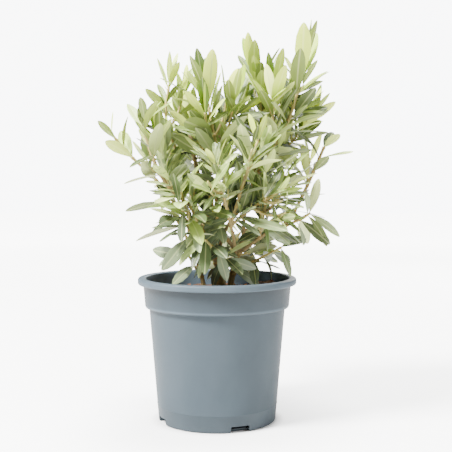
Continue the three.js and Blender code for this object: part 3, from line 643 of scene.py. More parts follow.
def leaf_pattern(name, stations, section):
    """The pattern's mesh. Its attributes are t along, u across, h height, and back for the lower face."""
    points, faces, under = [], [], []
    wide = len(section)
    for t in stations:
        share = blade_share(t)
        points += [(t, u * share, h * share, 0.0) for u, h in section]
        points.append((t, 0.0, 0.0, 1.0))
    tip = len(points)
    points.append((1.0, 0.0, 0.0, 0.0))
    rows = [[i * (wide + 1) + k for k in range(wide + 1)] for i in range(len(stations))]
    for k in range(wide + 1):
        n = (k + 1) % (wide + 1)
        strip = [(a[k], a[n], b[n], b[k]) for a, b in zip(rows, rows[1:])]
        faces += strip + [(rows[-1][k], rows[-1][n], tip)]
        under += [k >= wide - 1] * (len(strip) + 1)
    faces.append(tuple(reversed(rows[0])))
    under.append(True)
    mesh = bpy.data.meshes.new(name)
    mesh.from_pydata([(t, u * 0.12, h * 0.12 - back * 0.01) for t, u, h, back in points], [], faces)
    for column, label in enumerate(("leaf_t", "leaf_u", "leaf_h", "leaf_back")):
        data = mesh.attributes.new(label, "FLOAT", "POINT").data
        data.foreach_set("value", [point[column] for point in points])
    mesh.attributes.new("leaf_under", "BOOLEAN", "FACE").data.foreach_set("value", under)
    mesh.shade_smooth()
    mesh.set_sharp_from_angle(angle=math.radians(60))
    return bpy.data.objects.new(name, mesh)


pattern = leaf_pattern("leaf pattern", STATIONS, SECTION)
small_pattern = leaf_pattern("small leaf pattern", SMALL_STATIONS, SECTION[::2])
print("faces in a leaf and in a small one:", len(pattern.data.polygons), len(small_pattern.data.polygons))

# %% [markdown]
# ## Many leaves from one
# Copies of the pattern would all be flat and alike. Geometry Nodes take one point per leaf, put the pattern
# on it, and then set every vertex from the leaf's own numbers: where it starts, where it aims, which way its
# face looks, how long and wide it is, how far it bends down, how it twists and how it sways to one side.

# %% A helper for node trees, and the tree that sets the leaves
class Tree:
    """A geometry node tree under construction."""

    def __init__(self, name, **inputs):
        self.tree = bpy.data.node_groups.new(name, "GeometryNodeTree")
        self.tree.interface.new_socket("Geometry", in_out="INPUT", socket_type="NodeSocketGeometry")
        self.tree.interface.new_socket("Geometry", in_out="OUTPUT", socket_type="NodeSocketGeometry")
        for label, (kind, value) in inputs.items():
            socket = self.tree.interface.new_socket(label, in_out="INPUT", socket_type="NodeSocket" + kind)
            if value is not None:
                socket.default_value = value
        self.inputs = self.node("NodeGroupInput").outputs

    def node(self, kind, links=(), **settings):
        new = self.tree.nodes.new(kind)
        for key, value in settings.items():
            setattr(new, key, value)
        for socket, value in dict(links).items():
            self.feed(new.inputs[socket], value)
        return new

    def feed(self, socket, value):
        if isinstance(value, bpy.types.NodeSocket):
            self.tree.links.new(value, socket)
        else:
            socket.default_value = value

    def attribute(self, name, kind="FLOAT"):
        named = self.node("GeometryNodeInputNamedAttribute", {"Name": name}, data_type=kind)
        return named.outputs["Attribute"]

    def math(self, operation, a, b=0.0):
        return self.node("ShaderNodeMath", {0: a, 1: b}, operation=operation).outputs[0]

    def times(self, a, b):
        return self.math("MULTIPLY", a, b)

    def scale(self, vector, by):
        return self.node("ShaderNodeVectorMath", {0: vector, "Scale": by}, operation="SCALE").outputs[0]

    def add(self, *vectors):
        total = vectors[0]
        for vector in vectors[1:]:
            total = self.node("ShaderNodeVectorMath", {0: total, 1: vector}, operation="ADD").outputs[0]
        return total

    def end(self, geometry):
        self.node("NodeGroupOutput", {"Geometry": geometry})
        return self.tree


# The blade's thickness at its midrib as a share of its length, and the height and pace of its ripple
LEAF_THICK, RIPPLE, RIPPLE_PACE = 0.010, 0.05, 5.0


def leaf_tree():
    tree = Tree("set leaves", Pattern=("Object", None), Top=("Material", None), Under=("Material", None))
    pattern_mesh = tree.node("GeometryNodeObjectInfo", {"Object": tree.inputs["Pattern"]}).outputs
    placed = tree.node("GeometryNodeInstanceOnPoints",
                       {"Points": tree.inputs["Geometry"], "Instance": pattern_mesh["Geometry"]}).outputs[0]
    blades = tree.node("GeometryNodeRealizeInstances", {"Geometry": placed}).outputs[0]
    t = tree.attribute("leaf_t")
    half = tree.times(tree.attribute("wide"), 0.5)
    long, bend = tree.attribute("long"), tree.attribute("bend")
    turn = tree.times(bend, t)
    sin, cos = tree.math("SINE", turn), tree.math("COSINE", turn)
    radius = tree.math("DIVIDE", long, bend)
    aim, face = tree.attribute("aim", "FLOAT_VECTOR"), tree.attribute("face", "FLOAT_VECTOR")
    side = tree.attribute("side", "FLOAT_VECTOR")
    rib = tree.add(tree.attribute("base", "FLOAT_VECTOR"),
                   tree.scale(aim, tree.times(sin, radius)),
                   tree.scale(face, tree.times(tree.math("SUBTRACT", cos, 1.0), radius)))
    way = tree.add(tree.scale(aim, cos), tree.scale(face, tree.times(sin, -1.0)))
    normal = tree.add(tree.scale(face, cos), tree.scale(aim, sin))
    sway = tree.times(tree.times(tree.attribute("sway"), long), tree.times(t, t))
    ripple = tree.math("SINE", tree.math("ADD", tree.times(t, RIPPLE_PACE), tree.attribute("wave")))
    across = tree.times(tree.attribute("leaf_u"), half)
    height = tree.times(tree.attribute("leaf_h"), half)
    fold = tree.times(height, tree.attribute("fold"))
    back = tree.times(tree.attribute("leaf_back"), tree.times(long, LEAF_THICK))
    up = tree.math("ADD", tree.math("SUBTRACT", fold, back),
                   tree.times(tree.times(ripple, RIPPLE), across))
    offset = tree.add(tree.scale(side, across), tree.scale(normal, up))
    angle = tree.times(tree.attribute("twist"), t)
    twisted = tree.node("ShaderNodeVectorRotate", {"Vector": offset, "Axis": way, "Angle": angle},
                        rotation_type="AXIS_ANGLE").outputs[0]
    place = tree.add(rib, tree.scale(side, sway), twisted)
    shaped = tree.node("GeometryNodeSetPosition", {"Geometry": blades, "Position": place}).outputs[0]
    topped = tree.node("GeometryNodeSetMaterial",
                       {"Geometry": shaped, "Material": tree.inputs["Top"]}).outputs[0]
    done = tree.node("GeometryNodeSetMaterial",
                     {"Geometry": topped, "Selection": tree.attribute("leaf_under", "BOOLEAN"),
                      "Material": tree.inputs["Under"]}).outputs[0]
    return tree.end(done)


def shown(obj):
    """Puts an object into the scene and hands it back."""
    bpy.context.scene.collection.objects.link(obj)
    return obj


def grown(obj, tree, **inputs):
    """Runs a node tree on an object and keeps the result as a plain mesh in its place."""
    modifier = obj.modifiers.new(tree.name, "NODES")
    modifier.node_group = tree
    for item in tree.interface.items_tree:
        if item.item_type == "SOCKET" and item.in_out == "INPUT" and item.name in inputs:
            modifier[item.identifier] = inputs[item.name]
    if obj.name not in bpy.context.scene.collection.objects:
        shown(obj)
    bpy.context.view_layer.update()
    seen = obj.evaluated_get(bpy.context.evaluated_depsgraph_get())
    mesh = bpy.data.meshes.new_from_object(seen)
    name = obj.name
    bpy.data.objects.remove(obj)
    return shown(bpy.data.objects.new(name, mesh))


# %% [markdown]
# ## Materials
# Colours that have a place are built in. A leaf knows its age and its own luck, so young leaves come out
# yellow-green and old ones grey-green, with a pale midrib. Small marks shared by several finishes, such as
# the fine grain of bark or plastic, come from one node group with its own values in each material.

# %% Material helpers
def shader_group(name, **inputs):
    """A shader node group with named inputs; it returns the tree and its input sockets."""
    tree = bpy.data.node_groups.new(name, "ShaderNodeTree")
    for label, (kind, value) in inputs.items():
        socket = tree.interface.new_socket(label, in_out="INPUT", socket_type="NodeSocket" + kind)
        socket.default_value = value
    return tree, tree.nodes.new("NodeGroupInput").outputs


def speckle_group():
    """Two sizes of noise on the object's own coordinates: a colour factor and a height."""
    tree, inputs = shader_group("speckle", Coarse=("Float", 40.0), Fine=("Float", 400.0),
                                Stretch=("Float", 1.0))
    for label in ("Patches", "Height"):
        tree.interface.new_socket(label, in_out="OUTPUT", socket_type="NodeSocketFloat")
    nodes, links = tree.nodes, tree.links
    place = nodes.new("ShaderNodeTexCoord")
    squeeze = nodes.new("ShaderNodeCombineXYZ")
    squeeze.inputs[0].default_value = 1.0
    squeeze.inputs[1].default_value = 1.0
    links.new(inputs["Stretch"], squeeze.inputs[2])
    drawn = nodes.new("ShaderNodeVectorMath")
    drawn.operation = "MULTIPLY"
    links.new(place.outputs["Object"], drawn.inputs[0])
    links.new(squeeze.outputs[0], drawn.inputs[1])
    output = nodes.new("NodeGroupOutput")
    for source, target, detail in (("Coarse", "Patches", 3.0), ("Fine", "Height", 5.0)):
        grain = nodes.new("ShaderNodeTexNoise")
        grain.inputs["Detail"].default_value = detail
        links.new(drawn.outputs[0], grain.inputs["Vector"])
        links.new(inputs[source], grain.inputs["Scale"])
        links.new(grain.outputs["Fac"], output.inputs[target])
    return tree


SPECKLE = speckle_group()


class Finish:
    """A material under construction, with its Principled shader at hand."""

    def __init__(self, name, roughness, **sockets):
        self.material = bpy.data.materials.new(name)
        self.material.use_nodes = True
        self.nodes = self.material.node_tree.nodes
        self.links = self.material.node_tree.links
        self.shader = self.nodes["Principled BSDF"]
        self.fill(self.shader, Roughness=roughness, **sockets)

    def fill(self, node, **values):
        """Sets a node's inputs by their labels, or links them where the value is another node's output."""
        for label, value in values.items():
            self.feed(node.inputs[label.replace("_", " ")], value)

    def feed(self, socket, value):
        if isinstance(value, bpy.types.NodeSocket):
            self.links.new(value, socket)
        else:
            socket.default_value = value

    def speckle(self, coarse, fine, stretch=1.0):
        group = self.nodes.new("ShaderNodeGroup")
        group.node_tree = SPECKLE
        self.fill(group, Coarse=coarse, Fine=fine, Stretch=stretch)
        return group.outputs["Patches"], group.outputs["Height"]

    def attribute(self, name):
        node = self.nodes.new("ShaderNodeAttribute")
        node.attribute_name = name
        return node.outputs["Fac"]

    def ramp(self, source, *stops):
        """A colour ramp: stops are (position, colour)."""
        node = self.nodes.new("ShaderNodeValToRGB")
        elements = node.color_ramp.elements
        while len(elements) < len(stops):
            elements.new(0.5)
        for element, (position, colour) in zip(elements, stops):
            element.position = position
            element.color = (*colour, 1.0)
        self.links.new(source, node.inputs["Fac"])
        return node.outputs["Color"]

    def mix(self, factor, a, b, blend="MIX"):
        node = self.nodes.new("ShaderNodeMix")
        node.data_type = "RGBA"
        node.blend_type = blend
        colours = [socket for socket in node.inputs if socket.type == "RGBA"]
        self.feed(node.inputs["Factor"], factor)
        for socket, value in zip(colours, (a, b)):
            self.feed(socket, (*value, 1.0) if isinstance(value, tuple) else value)
        return [s for s in node.outputs if s.type == "RGBA"][0]

    def math(self, operation, a, b=0.0):
        node = self.nodes.new("ShaderNodeMath")
        node.operation = operation
        for socket, value in zip(node.inputs, (a, b)):
            self.feed(socket, value)
        return node.outputs[0]

    def times(self, a, b):
        return self.math("MULTIPLY", a, b)

    def range(self, source, **ends):
        """A value moved from one range to another; each end is 0 or 1 unless it is given."""
        node = self.nodes.new("ShaderNodeMapRange")
        self.fill(node, Value=source, **ends)
        return node.outputs[0]

    def colour(self, source):
        self.fill(self.shader, Base_Color=source)

    def rough(self, source, low, high):
        self.fill(self.shader, Roughness=self.range(source, To_Min=low, To_Max=high))

    def bump(self, source, strength, distance):
        node = self.nodes.new("ShaderNodeBump")
        self.fill(node, Strength=strength, Distance=distance, Height=source)
        self.fill(self.shader, Normal=node.outputs[0])


# %% [markdown]
# A leaf's colour comes from two numbers that each leaf carries: its age picks a green, and its tone says how
# much of the crown's shade lies on it. A ramp for each keeps both easy to read and to change. The lower face
# has its own paler material, because an olive leaf is silvery beneath.

# %% Leaf finishes
# Upper and lower face of a young, a grown and an old leaf, and its rib
YOUNG_TOP = (0.48, 0.71, 0.022)
MID_TOP = (0.330, 0.445, 0.032)
OLD_TOP = (0.188, 0.230, 0.138)
YOUNG_UNDER = (0.78, 0.89, 0.08)
MID_UNDER = (0.65, 0.75, 0.11)
OLD_UNDER = (0.47, 0.50, 0.29)
RIB = (0.70, 0.72, 0.34)
# How the shade of the crown darkens a leaf, by its tone
SHADES = ((0.0, (0.13, 0.16, 0.12)), (0.35, (0.34, 0.39, 0.28)), (0.62, (0.80, 0.84, 0.70)),
          (0.86, (1.0, 1.0, 1.0)))
# A painted highlight turns a few of the young leaves pale cream: how much, by tone and by age
PAINTED_HIGHLIGHT = (0.93, 0.94, 0.50)
HIGHLIGHT_BY_TONE = ((0.74, (0.0, 0.0, 0.0)), (0.96, (0.85, 0.85, 0.85)))
HIGHLIGHT_BY_AGE = ((0.12, (1.0, 1.0, 1.0)), (0.40, (0.0, 0.0, 0.0)))
# Faint grey clouds on the blade, and how much of them shows
CLOUD, CLOUDINESS = (0.62, 0.64, 0.55), 0.30
# How sharply the rib's edge fades, and how much of the rib's colour shows
RIB_EDGE, RIB_SHOWS = 9.0, 0.22


def leaf_finish(name, by_age, rib_width, roughness, sheen):
    finish = Finish(name, roughness, Specular_IOR_Level=0.42, Sheen_Weight=sheen)
    base = finish.ramp(finish.attribute("age"), *by_age)
    patches, grain = finish.speckle(coarse=55, fine=900)
    shaded = finish.mix(1.0, base, finish.ramp(finish.attribute("tone"), *SHADES), "MULTIPLY")
    # Painted highlight: a few young leaves are mixed towards pale cream
    highlight = finish.times(finish.ramp(finish.attribute("tone"), *HIGHLIGHT_BY_TONE),
                          finish.ramp(finish.attribute("age"), *HIGHLIGHT_BY_AGE))
    highlighted = finish.mix(highlight, shaded, PAINTED_HIGHLIGHT)
    clouded = finish.mix(finish.times(patches, CLOUDINESS), highlighted, CLOUD, "MULTIPLY")
    near_rib = finish.math("SUBTRACT", rib_width, finish.math("ABSOLUTE", finish.attribute("leaf_u")))
    rib_edge = finish.math("MAXIMUM", finish.times(near_rib, RIB_EDGE), 0.0)
    on_rib = finish.math("MINIMUM", rib_edge, RIB_SHOWS)
    finish.colour(finish.mix(on_rib, clouded, RIB))
    finish.rough(patches, roughness - 0.08, roughness + 0.10)
    finish.bump(grain, strength=0.25, distance=0.0003)
    return finish.material


TOP_BY_AGE = ((0.0, YOUNG_TOP), (0.4, MID_TOP), (1.0, OLD_TOP))
UNDER_BY_AGE = ((0.0, YOUNG_UNDER), (0.4, MID_UNDER), (1.0, OLD_UNDER))
LEAF_TOP = leaf_finish("leaf upper face", TOP_BY_AGE, rib_width=0.10, roughness=0.42, sheen=0.0)
LEAF_UNDER = leaf_finish("leaf lower face", UNDER_BY_AGE, rib_width=0.12, roughness=0.60, sheen=0.05)
print("leaf finishes:", LEAF_TOP.name, "and", LEAF_UNDER.name)

# %% [markdown]
# Now every planned leaf becomes one point that carries its numbers, and the node tree turns each point into a
# blade. Real leaves are broader than the slim blades of the solids, so each is widened a little here.

# %% Set all the leaves
# A leaf's breadth as a share of the solid blade's: of the youngest ones, and of those that are full-grown
YOUNG_BREADTH, GROWN_BREADTH = 1.02, 1.15
# Leaves of the low outer shoots roll about their midrib by this much to either side, in radians
ROLLED_MASSES = ["foliage_" + name for name in ("low_left", "low_outer", "low_right", "right_low")]
ROLL = (0.5, 0.6)
TONE_SEED = 32
# Small leaves sit in the shade, so their tone is this share of a large one's
SHADED = 0.80
# The crown starts at this height and is this high, in mm: low leaves come out older, part age, part painted
# shade
CROWN_FOOT, CROWN_HEIGHT = 160.0, 320.0
AGE_BY_PAIR, SHADE_AND_AGE_BY_DEPTH, AGE_BY_LUCK = 0.08, 0.45, 0.15


def on_fine_curve(leaf, fine):
    """The leaf's start, moved from the stem's straight pieces to its smooth curve."""
    stem = leaf["stem"]
    return fine.at(leaf["d"] / stem.long * fine.long)[0]


def fine_stem(stem, steps):
    return Stem(stem.points, steps, stem.thick, stem.flare)


def leaf_points(name, group, brightest):
    """One point per leaf, with the leaf's numbers as attributes."""
    luck = draws(len(group) * 31 + 5)
    roll_luck, tone_luck = draws(907), draws(TONE_SEED)
    fine = {}
    rows, values = [], []
    for leaf in group:
        key = id(leaf["stem"])
        if key not in fine:
            fine[key] = fine_stem(leaf["stem"], 8)
        face = leaf["face"]
        if leaf["mass"] in ROLLED_MASSES:
            roll = upward(roll_luck, *ROLL)
            face = turned(face, leaf["aim"], roll if roll_luck() < 0.5 else -roll)
        part = min(1.0, leaf["age"] / YOUNG_PAIRS)
        breadth = YOUNG_BREADTH + (GROWN_BREADTH - YOUNG_BREADTH) * part
        depth = 1 - (leaf["base"][2] - CROWN_FOOT) / CROWN_HEIGHT
        # Depth in the crown adds painted shade through the age, so low leaves come out darker
        age = AGE_BY_PAIR * leaf["age"] + SHADE_AND_AGE_BY_DEPTH * depth + AGE_BY_LUCK * luck()
        rows.append(dict(base=on_fine_curve(leaf, fine[key]) * MM, aim=leaf["aim"], face=face,
                         side=cross(face, leaf["aim"])))
        values.append(dict(long=leaf["long"] * MM, wide=leaf["wide"] * MM * breadth, bend=leaf["bend"],
                           age=min(1.0, max(0.0, age)), tone=brightest * tone_luck(),
                           twist=either_way(luck, 0.9), sway=either_way(luck, 0.14),
                           wave=luck() * 2 * math.pi, fold=upward(luck, 0.4, 2.6)))
    mesh = bpy.data.meshes.new(name)
    mesh.from_pydata([tuple(row["base"]) for row in rows], [], [])
    for key in rows[0]:
        data = mesh.attributes.new(key, "FLOAT_VECTOR", "POINT").data
        data.foreach_set("vector", np.array([row[key] for row in rows]).ravel())
    for key in values[0]:
        data = mesh.attributes.new(key, "FLOAT", "POINT").data
        data.foreach_set("value", [row[key] for row in values])
    return bpy.data.objects.new(name, mesh)


LEAF_TREE = leaf_tree()
large = grown(leaf_points("leaves", leaves, 1.0), LEAF_TREE, Pattern=pattern, Top=LEAF_TOP, Under=LEAF_UNDER)
small = grown(leaf_points("small_leaves", fine_leaves, SHADED), LEAF_TREE, Pattern=small_pattern,
              Top=LEAF_TOP, Under=LEAF_UNDER)
print("faces on the large leaves:", len(large.data.polygons), "and on the small:", len(small.data.polygons))

# %% [markdown]
# ## Shoots and twigs
# A shoot is round, slim and smooth, brown where it has turned to wood and pale olive where it is young. It
# swells a little where each pair of leaves sits. Curve to Mesh would give an even pipe; here a loop works out
# each ring, so that the swellings, the bark's colour and the cut stubs come out of the same walk.

# %% Tubes along stems
# A joint swells the stem by this share, over this reach in mm
SWELL, SWELL_REACH = 0.28, 1.1
# A growing tip narrows to this share over its last stretch, in mm
TIP_NARROWS, TIP_STRETCH = 0.75, 1.5


def tube_mesh(name, stems, sides, spacing, relief=None):
    """One mesh of closed tubes. Each stem is (stem, youth at its start and end, joints, cut end)."""
    points, faces, youth_values, node_values = [], [], [], []
    for number, (stem, youth, joints, cut) in enumerate(stems):
        fine = fine_stem(stem, 10)
        count = max(4, int(fine.long / spacing))
        side = None
        first = len(points)
        for i in range(count + 1):
            d = fine.long * i / count
            point, way = fine.at(max(0.01, min(fine.long - 0.01, d)))
            side = square_to(way) if side is None else unit(side - way * float(side @ way))
            up = cross(side, way)
            radius = fine.half_at(d)
            swell = sum(math.exp(-((d - joint) / SWELL_REACH) ** 2) for joint in joints)
            radius *= 1 + SWELL * min(swell, 1.0)
            if not cut and fine.long - d < TIP_STRETCH:
                radius *= TIP_NARROWS
            for k in range(sides):
                turn = 2 * math.pi * k / sides
                out = side * math.cos(turn) + up * math.sin(turn)
                reach = radius + (relief(point, out, d, number, radius) if relief else 0.0)
                points.append(tuple((point + out * reach) * MM))
                youth_values.append(youth[0] + (youth[1] - youth[0]) * d / fine.long)
                node_values.append(min(1.0, swell))
        for i in range(count):
            for k in range(sides):
                a, b = first + i * sides + k, first + i * sides + (k + 1) % sides
                faces.append((a, a + sides, b + sides, b))
        last = first + count * sides
        faces.append(tuple(range(first, first + sides)))
        faces.append(tuple(reversed(range(last, last + sides))))
    mesh = bpy.data.meshes.new(name)
    mesh.from_pydata(points, [], faces)
    mesh.attributes.new("youth", "FLOAT", "POINT").data.foreach_set("value", youth_values)
    mesh.attributes.new("joint", "FLOAT", "POINT").data.foreach_set("value", node_values)
    mesh.shade_smooth()
    return shown(bpy.data.objects.new(name, mesh))


STOUTER = 1.3
# How young the bark is at the foot and at the end of a shoot, a stub, a side twig and a short shoot
SHOOT_YOUTH, STUB_YOUTH, TWIG_YOUTH, SHORT_YOUTH = (0.1, 0.65), (0.05, 0.3), (0.3, 0.8), (0.6, 1.0)


def stouter(stem):
    """Bark and buds make a real shoot thicker than its bare wood."""
    return Stem(stem.points, 2, [STOUTER * thick for thick in stem.thick], stem.flare)


joints_of = {}
for leaf in leaves + fine_leaves:
    joints_of.setdefault(id(leaf["stem"]), set()).add(leaf["d"])

walks = []
for name, stems in shoots.items():
    cut = "pruned" in FOLIAGE[name]
    for number, stem in enumerate(stems):
        is_stub = cut and number == 0
        youth = TWIG_YOUTH if number else STUB_YOUTH if is_stub else SHOOT_YOUTH
        walks.append((stem, youth, joints_of.get(id(stem), ()), is_stub))
walks += [(shoot, SHORT_YOUTH, joints_of.get(id(shoot), ()), False) for shoot in short_shoots]
twigs = tube_mesh("twigs", [(stouter(stem), *rest) for stem, *rest in walks], sides=8, spacing=1.2)
print("twigs:", len(walks), "faces:", len(twigs.data.polygons))

# %% [markdown]
# ## Trunk, stems and boughs
# Young olive bark is thin and grey-brown, with fine furrows that run up the limb, small scars where leaves
# and shoots were, and a slight collar at each fork. Bump alone would leave the outline smooth, so the furrows
# and scars are real relief in a fine mesh.

# %% Bark relief
# Heights as shares of the limb's radius; only the highest noise makes a scar
FURROW_HIGH, PLATE_HIGH, SCAR_HIGH, SCAR_FROM = 0.06, 0.04, 0.30, 0.32


def bark_relief(point, out, d, number, radius):
    """Height of the bark over the round limb, in mm: furrows along it, plates across it and a few scars."""
    turn = out * 5.5
    furrow = noise.noise(Vector((turn[0] + number * 9, turn[1], turn[2] + d * 0.05)))
    plate = noise.noise(Vector(tuple(point * 0.55 + out * 2.0)))
    scar = noise.noise(Vector((out[0] * 1.2 + number * 5, out[1] * 1.2, d * 0.11)))
    return radius * (FURROW_HIGH * furrow + PLATE_HIGH * plate + SCAR_HIGH * max(0.0, scar - SCAR_FROM))


forks = {name: [] for name in limbs}
for table in (LIMBS, FOLIAGE):
    for limb in table.values():
        if "on" in limb:
            forks[limb["on"]].append(limb["at"] * limbs[limb["on"]].long)
limb_walks = [(limb, (0.0, 0.12), forks[name], False) for name, limb in limbs.items()]
wood = tube_mesh("bark", limb_walks, sides=20, spacing=0.9, relief=bark_relief)
print("faces on trunk, stems and boughs:", len(wood.data.polygons))

# %% [markdown]
# Where a limb forks, the wood is thicker and rounded. A short collar of swollen wood sits at each fork and
# under each shoot, in the bark's own colour, and short cut stubs show where shoots were pruned away.

# %% Forks and pruned stubs
STUBS_AT = (("trunk", 0.55), ("trunk", 0.86), ("stem_right", 0.7), ("bough_high", 0.6))
STUB_LENGTH = (4, 6)


def stub_stems():
    """Short cut stubs on the limbs and the larger shoots, where pruning took a shoot away."""
    luck = draws(4417)
    out = []
    hosts = [(limbs[name], share) for name, share in STUBS_AT]
    hosts += [(stems[0], upward(luck, 0.28, 0.3)) for name, stems in shoots.items() if "low" not in name]
    for host, share in hosts:
        point, way = host.at(host.long * share)
        away = turned(square_to(way), way, luck() * 2 * math.pi)
        aim = unit(way * 0.8 + away)
        long = upward(luck, *STUB_LENGTH)
        thick = 1.4 + 0.5 * host.half_thick(share)
        out.append((Stem([point, point + aim * long * 0.5, point + aim * long], 2, (thick, thick * 0.9)),
                    (0.05, 0.05), (), True))
    return out


stubs = tube_mesh("stubs", stub_stems(), sides=8, spacing=0.8)
# A collar reaches this far to each side of its fork, in mm
KNOT = 2.6
knots = []
for name, places in forks.items():
    for d in set(places):
        limb = limbs[name]
        point, way = limb.at(d)
        thick = 2 * limb.half_thick(d / limb.long)
        knot = Stem([point - way * KNOT, point, point + way * KNOT], 2, (thick, thick))
        knots.append((knot, (0.0, 0.1), (KNOT,), True))
collars = tube_mesh("collars", knots, sides=14, spacing=0.6, relief=bark_relief)
print("stubs:", len(stubs.data.polygons), "faces; collars:", len(collars.data.polygons), "faces")

# %% [markdown]
# One bark serves all the wood. How young it is comes from the mesh, so a shoot runs from grey-brown at its
# foot to green at its tip without a seam between two materials.

# %% Bark finish
OLD_BARK, YOUNG_BARK, GREEN_BARK = (0.20, 0.148, 0.064), (0.33, 0.28, 0.095), (0.46, 0.45, 0.15)
JOINT_BARK, BARK_PATCH = (0.34, 0.22, 0.055), (0.52, 0.46, 0.36)


def bark_finish():
    """Bark that turns from old to green along the limb, and browner at the joints."""
    finish = Finish("olive bark", 0.8, Specular_IOR_Level=0.3)
    patches, grain = finish.speckle(coarse=90, fine=700, stretch=0.3)
    along = finish.ramp(finish.attribute("youth"), (0.0, OLD_BARK), (0.45, YOUNG_BARK), (1.0, GREEN_BARK))
    mottled = finish.mix(finish.times(patches, 0.8), along, BARK_PATCH, "MULTIPLY")
    finish.colour(finish.mix(finish.times(finish.attribute("joint"), 0.55), mottled, JOINT_BARK))
    finish.rough(patches, low=0.65, high=0.92)
    finish.bump(grain, strength=0.5, distance=0.0006)
    return finish.material


WOOD = bark_finish()
for piece in (twigs, wood, stubs, collars):
    piece.data.materials.append(WOOD)
print("bark finish on:", [piece.name for piece in (twigs, wood, stubs, collars)])

# %% [markdown]
# ## The pot
# A nursery pot is blown or injected in thin plastic. Its wall tapers so that pots nest, a wider collar near
# the top stiffens it, and the lip is rolled. The shape is the same all the way round, so one profile is
# turned about the axis; the drainage slots in the foot are then cut with a boolean.

# %% Turn the pot
# Heights and radii in mm: the whole pot and its lip, the collar, and the body below the collar
POT_HEIGHT, LIP_OUT, MOUTH_IN = 171.0, 95.0, 85.5
COLLAR_FOOT, COLLAR_LOW, COLLAR_HIGH = 138.3, 86.5, 88.4
SHOULDER, BASE, WALL = 81.7, 70.5, 2.0
SLOPE = (SHOULDER - BASE) / COLLAR_FOOT
LIP_FOOT = POT_HEIGHT - 7.6
# The underside stands on a ring, and the floor is raised inside it
RING_IN, RING_OUT, FLOOR_UNDER, FLOOR_TOP = 52.0, 54.0, 1.2, 2.6
RIDGE_AT, RIDGE_HIGH, RIDGE_WIDE = 20.0, 0.35, 0.9
# Radii of the rounded edges, from the foot up to the mouth
FOOT_ROUND, COLLAR_ROUND, LIP_UNDER, LIP_OVER, MOUTH_ROUND = 1.6, 3.2, 2.0, 2.6, 2.2
# The mouth's inner wall leans in by this much down to the collar's foot, and has fine ridges this high
INNER_LEAN, INNER_STEP, INNER_RINGS = 1.5, 0.18, 14
TURNS = 144


def arc(centre, radius, start, end, steps):
    """Points on a circle in the profile's plane, angles in degrees."""
    return [(centre[0] + radius * math.cos(math.radians(start + (end - start) * i / steps)),
             centre[1] + radius * math.sin(math.radians(start + (end - start) * i / steps)))
            for i in range(steps + 1)]


def outside_at(z):
    """Outer radius of the tapered body at height z."""
    return BASE + SLOPE * z


def ridge(z, height, width):
    """A low moulded line round the body at height z."""
    return [(outside_at(z + s * width) + (height if s == 0 else 0), z + s * width) for s in (-1, 0, 1)]


def pot_profile():
    inside_collar = []
    for i, z in enumerate(np.linspace(POT_HEIGHT - 4, COLLAR_FOOT + 3, INNER_RINGS)):
        lean = INNER_LEAN * (POT_HEIGHT - z) / (POT_HEIGHT - COLLAR_FOOT)
        inside_collar.append((MOUTH_IN - 0.05 - lean - INNER_STEP * (i % 2), z))
    profile = [(0.0, FLOOR_UNDER), (RING_IN, FLOOR_UNDER), (RING_OUT, 0.0)]
    profile += arc((BASE - FOOT_ROUND, FOOT_ROUND), FOOT_ROUND, -90, 0, 5)
    profile += ridge(RIDGE_AT, RIDGE_HIGH, RIDGE_WIDE)
    profile += [(outside_at(z), z) for z in (60, 100, COLLAR_FOOT - 2.2)]
    profile += arc((COLLAR_LOW - COLLAR_ROUND, COLLAR_FOOT + 0.2), COLLAR_ROUND, -52, 0, 5)
    profile += [(COLLAR_LOW + 0.1, COLLAR_FOOT + 2), (COLLAR_HIGH, LIP_FOOT - 2.2)]
    profile += [(COLLAR_HIGH + 0.8, LIP_FOOT - 0.7)]
    profile += arc((LIP_OUT - LIP_UNDER, LIP_FOOT + 1.9), LIP_UNDER, -90, 0, 5)
    profile += arc((LIP_OUT - LIP_OVER, POT_HEIGHT - LIP_OVER), LIP_OVER, 0, 90, 6)
    profile += arc((MOUTH_IN + MOUTH_ROUND, POT_HEIGHT - MOUTH_ROUND), MOUTH_ROUND, 90, 180, 5)
    profile += inside_collar
    profile += [(outside_at(z) - WALL, z) for z in (COLLAR_FOOT - 2, 90, FLOOR_TOP)]
    return profile + [(0.0, FLOOR_TOP)]


def turned_mesh(name, profile, turns):
    """A profile of (radius, height) in mm, turned about the axis; radius 0 closes at one point."""
    points, faces, rings = [], [], []
    for radius, z in profile:
        if radius == 0:
            rings.append([len(points)] * turns)
            points.append((0.0, 0.0, z * MM))
            continue
        rings.append([len(points) + k for k in range(turns)])
        for k in range(turns):
            turn = 2 * math.pi * k / turns
            points.append((radius * math.cos(turn) * MM, radius * math.sin(turn) * MM, z * MM))
    for low, high in zip(rings, rings[1:]):
        for k in range(turns):
            n = (k + 1) % turns
            corners = [low[k], low[n], high[n], high[k]]
            faces.append(tuple(dict.fromkeys(corners)))
    mesh = bpy.data.meshes.new(name)
    mesh.from_pydata(points, [], faces)
    work = bmesh.new()
    work.from_mesh(mesh)
    bmesh.ops.recalc_face_normals(work, faces=work.faces)
    work.to_mesh(mesh)
    work.free()
    return shown(bpy.data.objects.new(name, mesh))


def keep_result(piece):
    """Applies the piece's modifiers by keeping its evaluated mesh."""
    bpy.context.view_layer.update()
    mesh = bpy.data.meshes.new_from_object(piece.evaluated_get(bpy.context.evaluated_depsgraph_get()))
    piece.modifiers.clear()
    piece.data = mesh


pot = turned_mesh("nursery_pot", pot_profile(), TURNS)
print("faces on the turned pot:", len(pot.data.polygons))

# %% [markdown]
# The slots let water out where the wall meets the floor. Four boxes with rounded upper corners are taken away
# from the turned wall in one boolean. That is simpler than shaping the profile round each opening.

# %% Cut the drainage slots
# In degrees from the viewer's side; the others follow at quarter turns
FIRST_SLOT = 22.7
# A slot's depth through the wall, its width and its height, and where its middle is from the foot's edge
SLOT, SLOT_MIDDLE, SLOT_CORNER = (12.0, 23.0, 8.0), (-2.0, 0.0, 3.0), 1.6


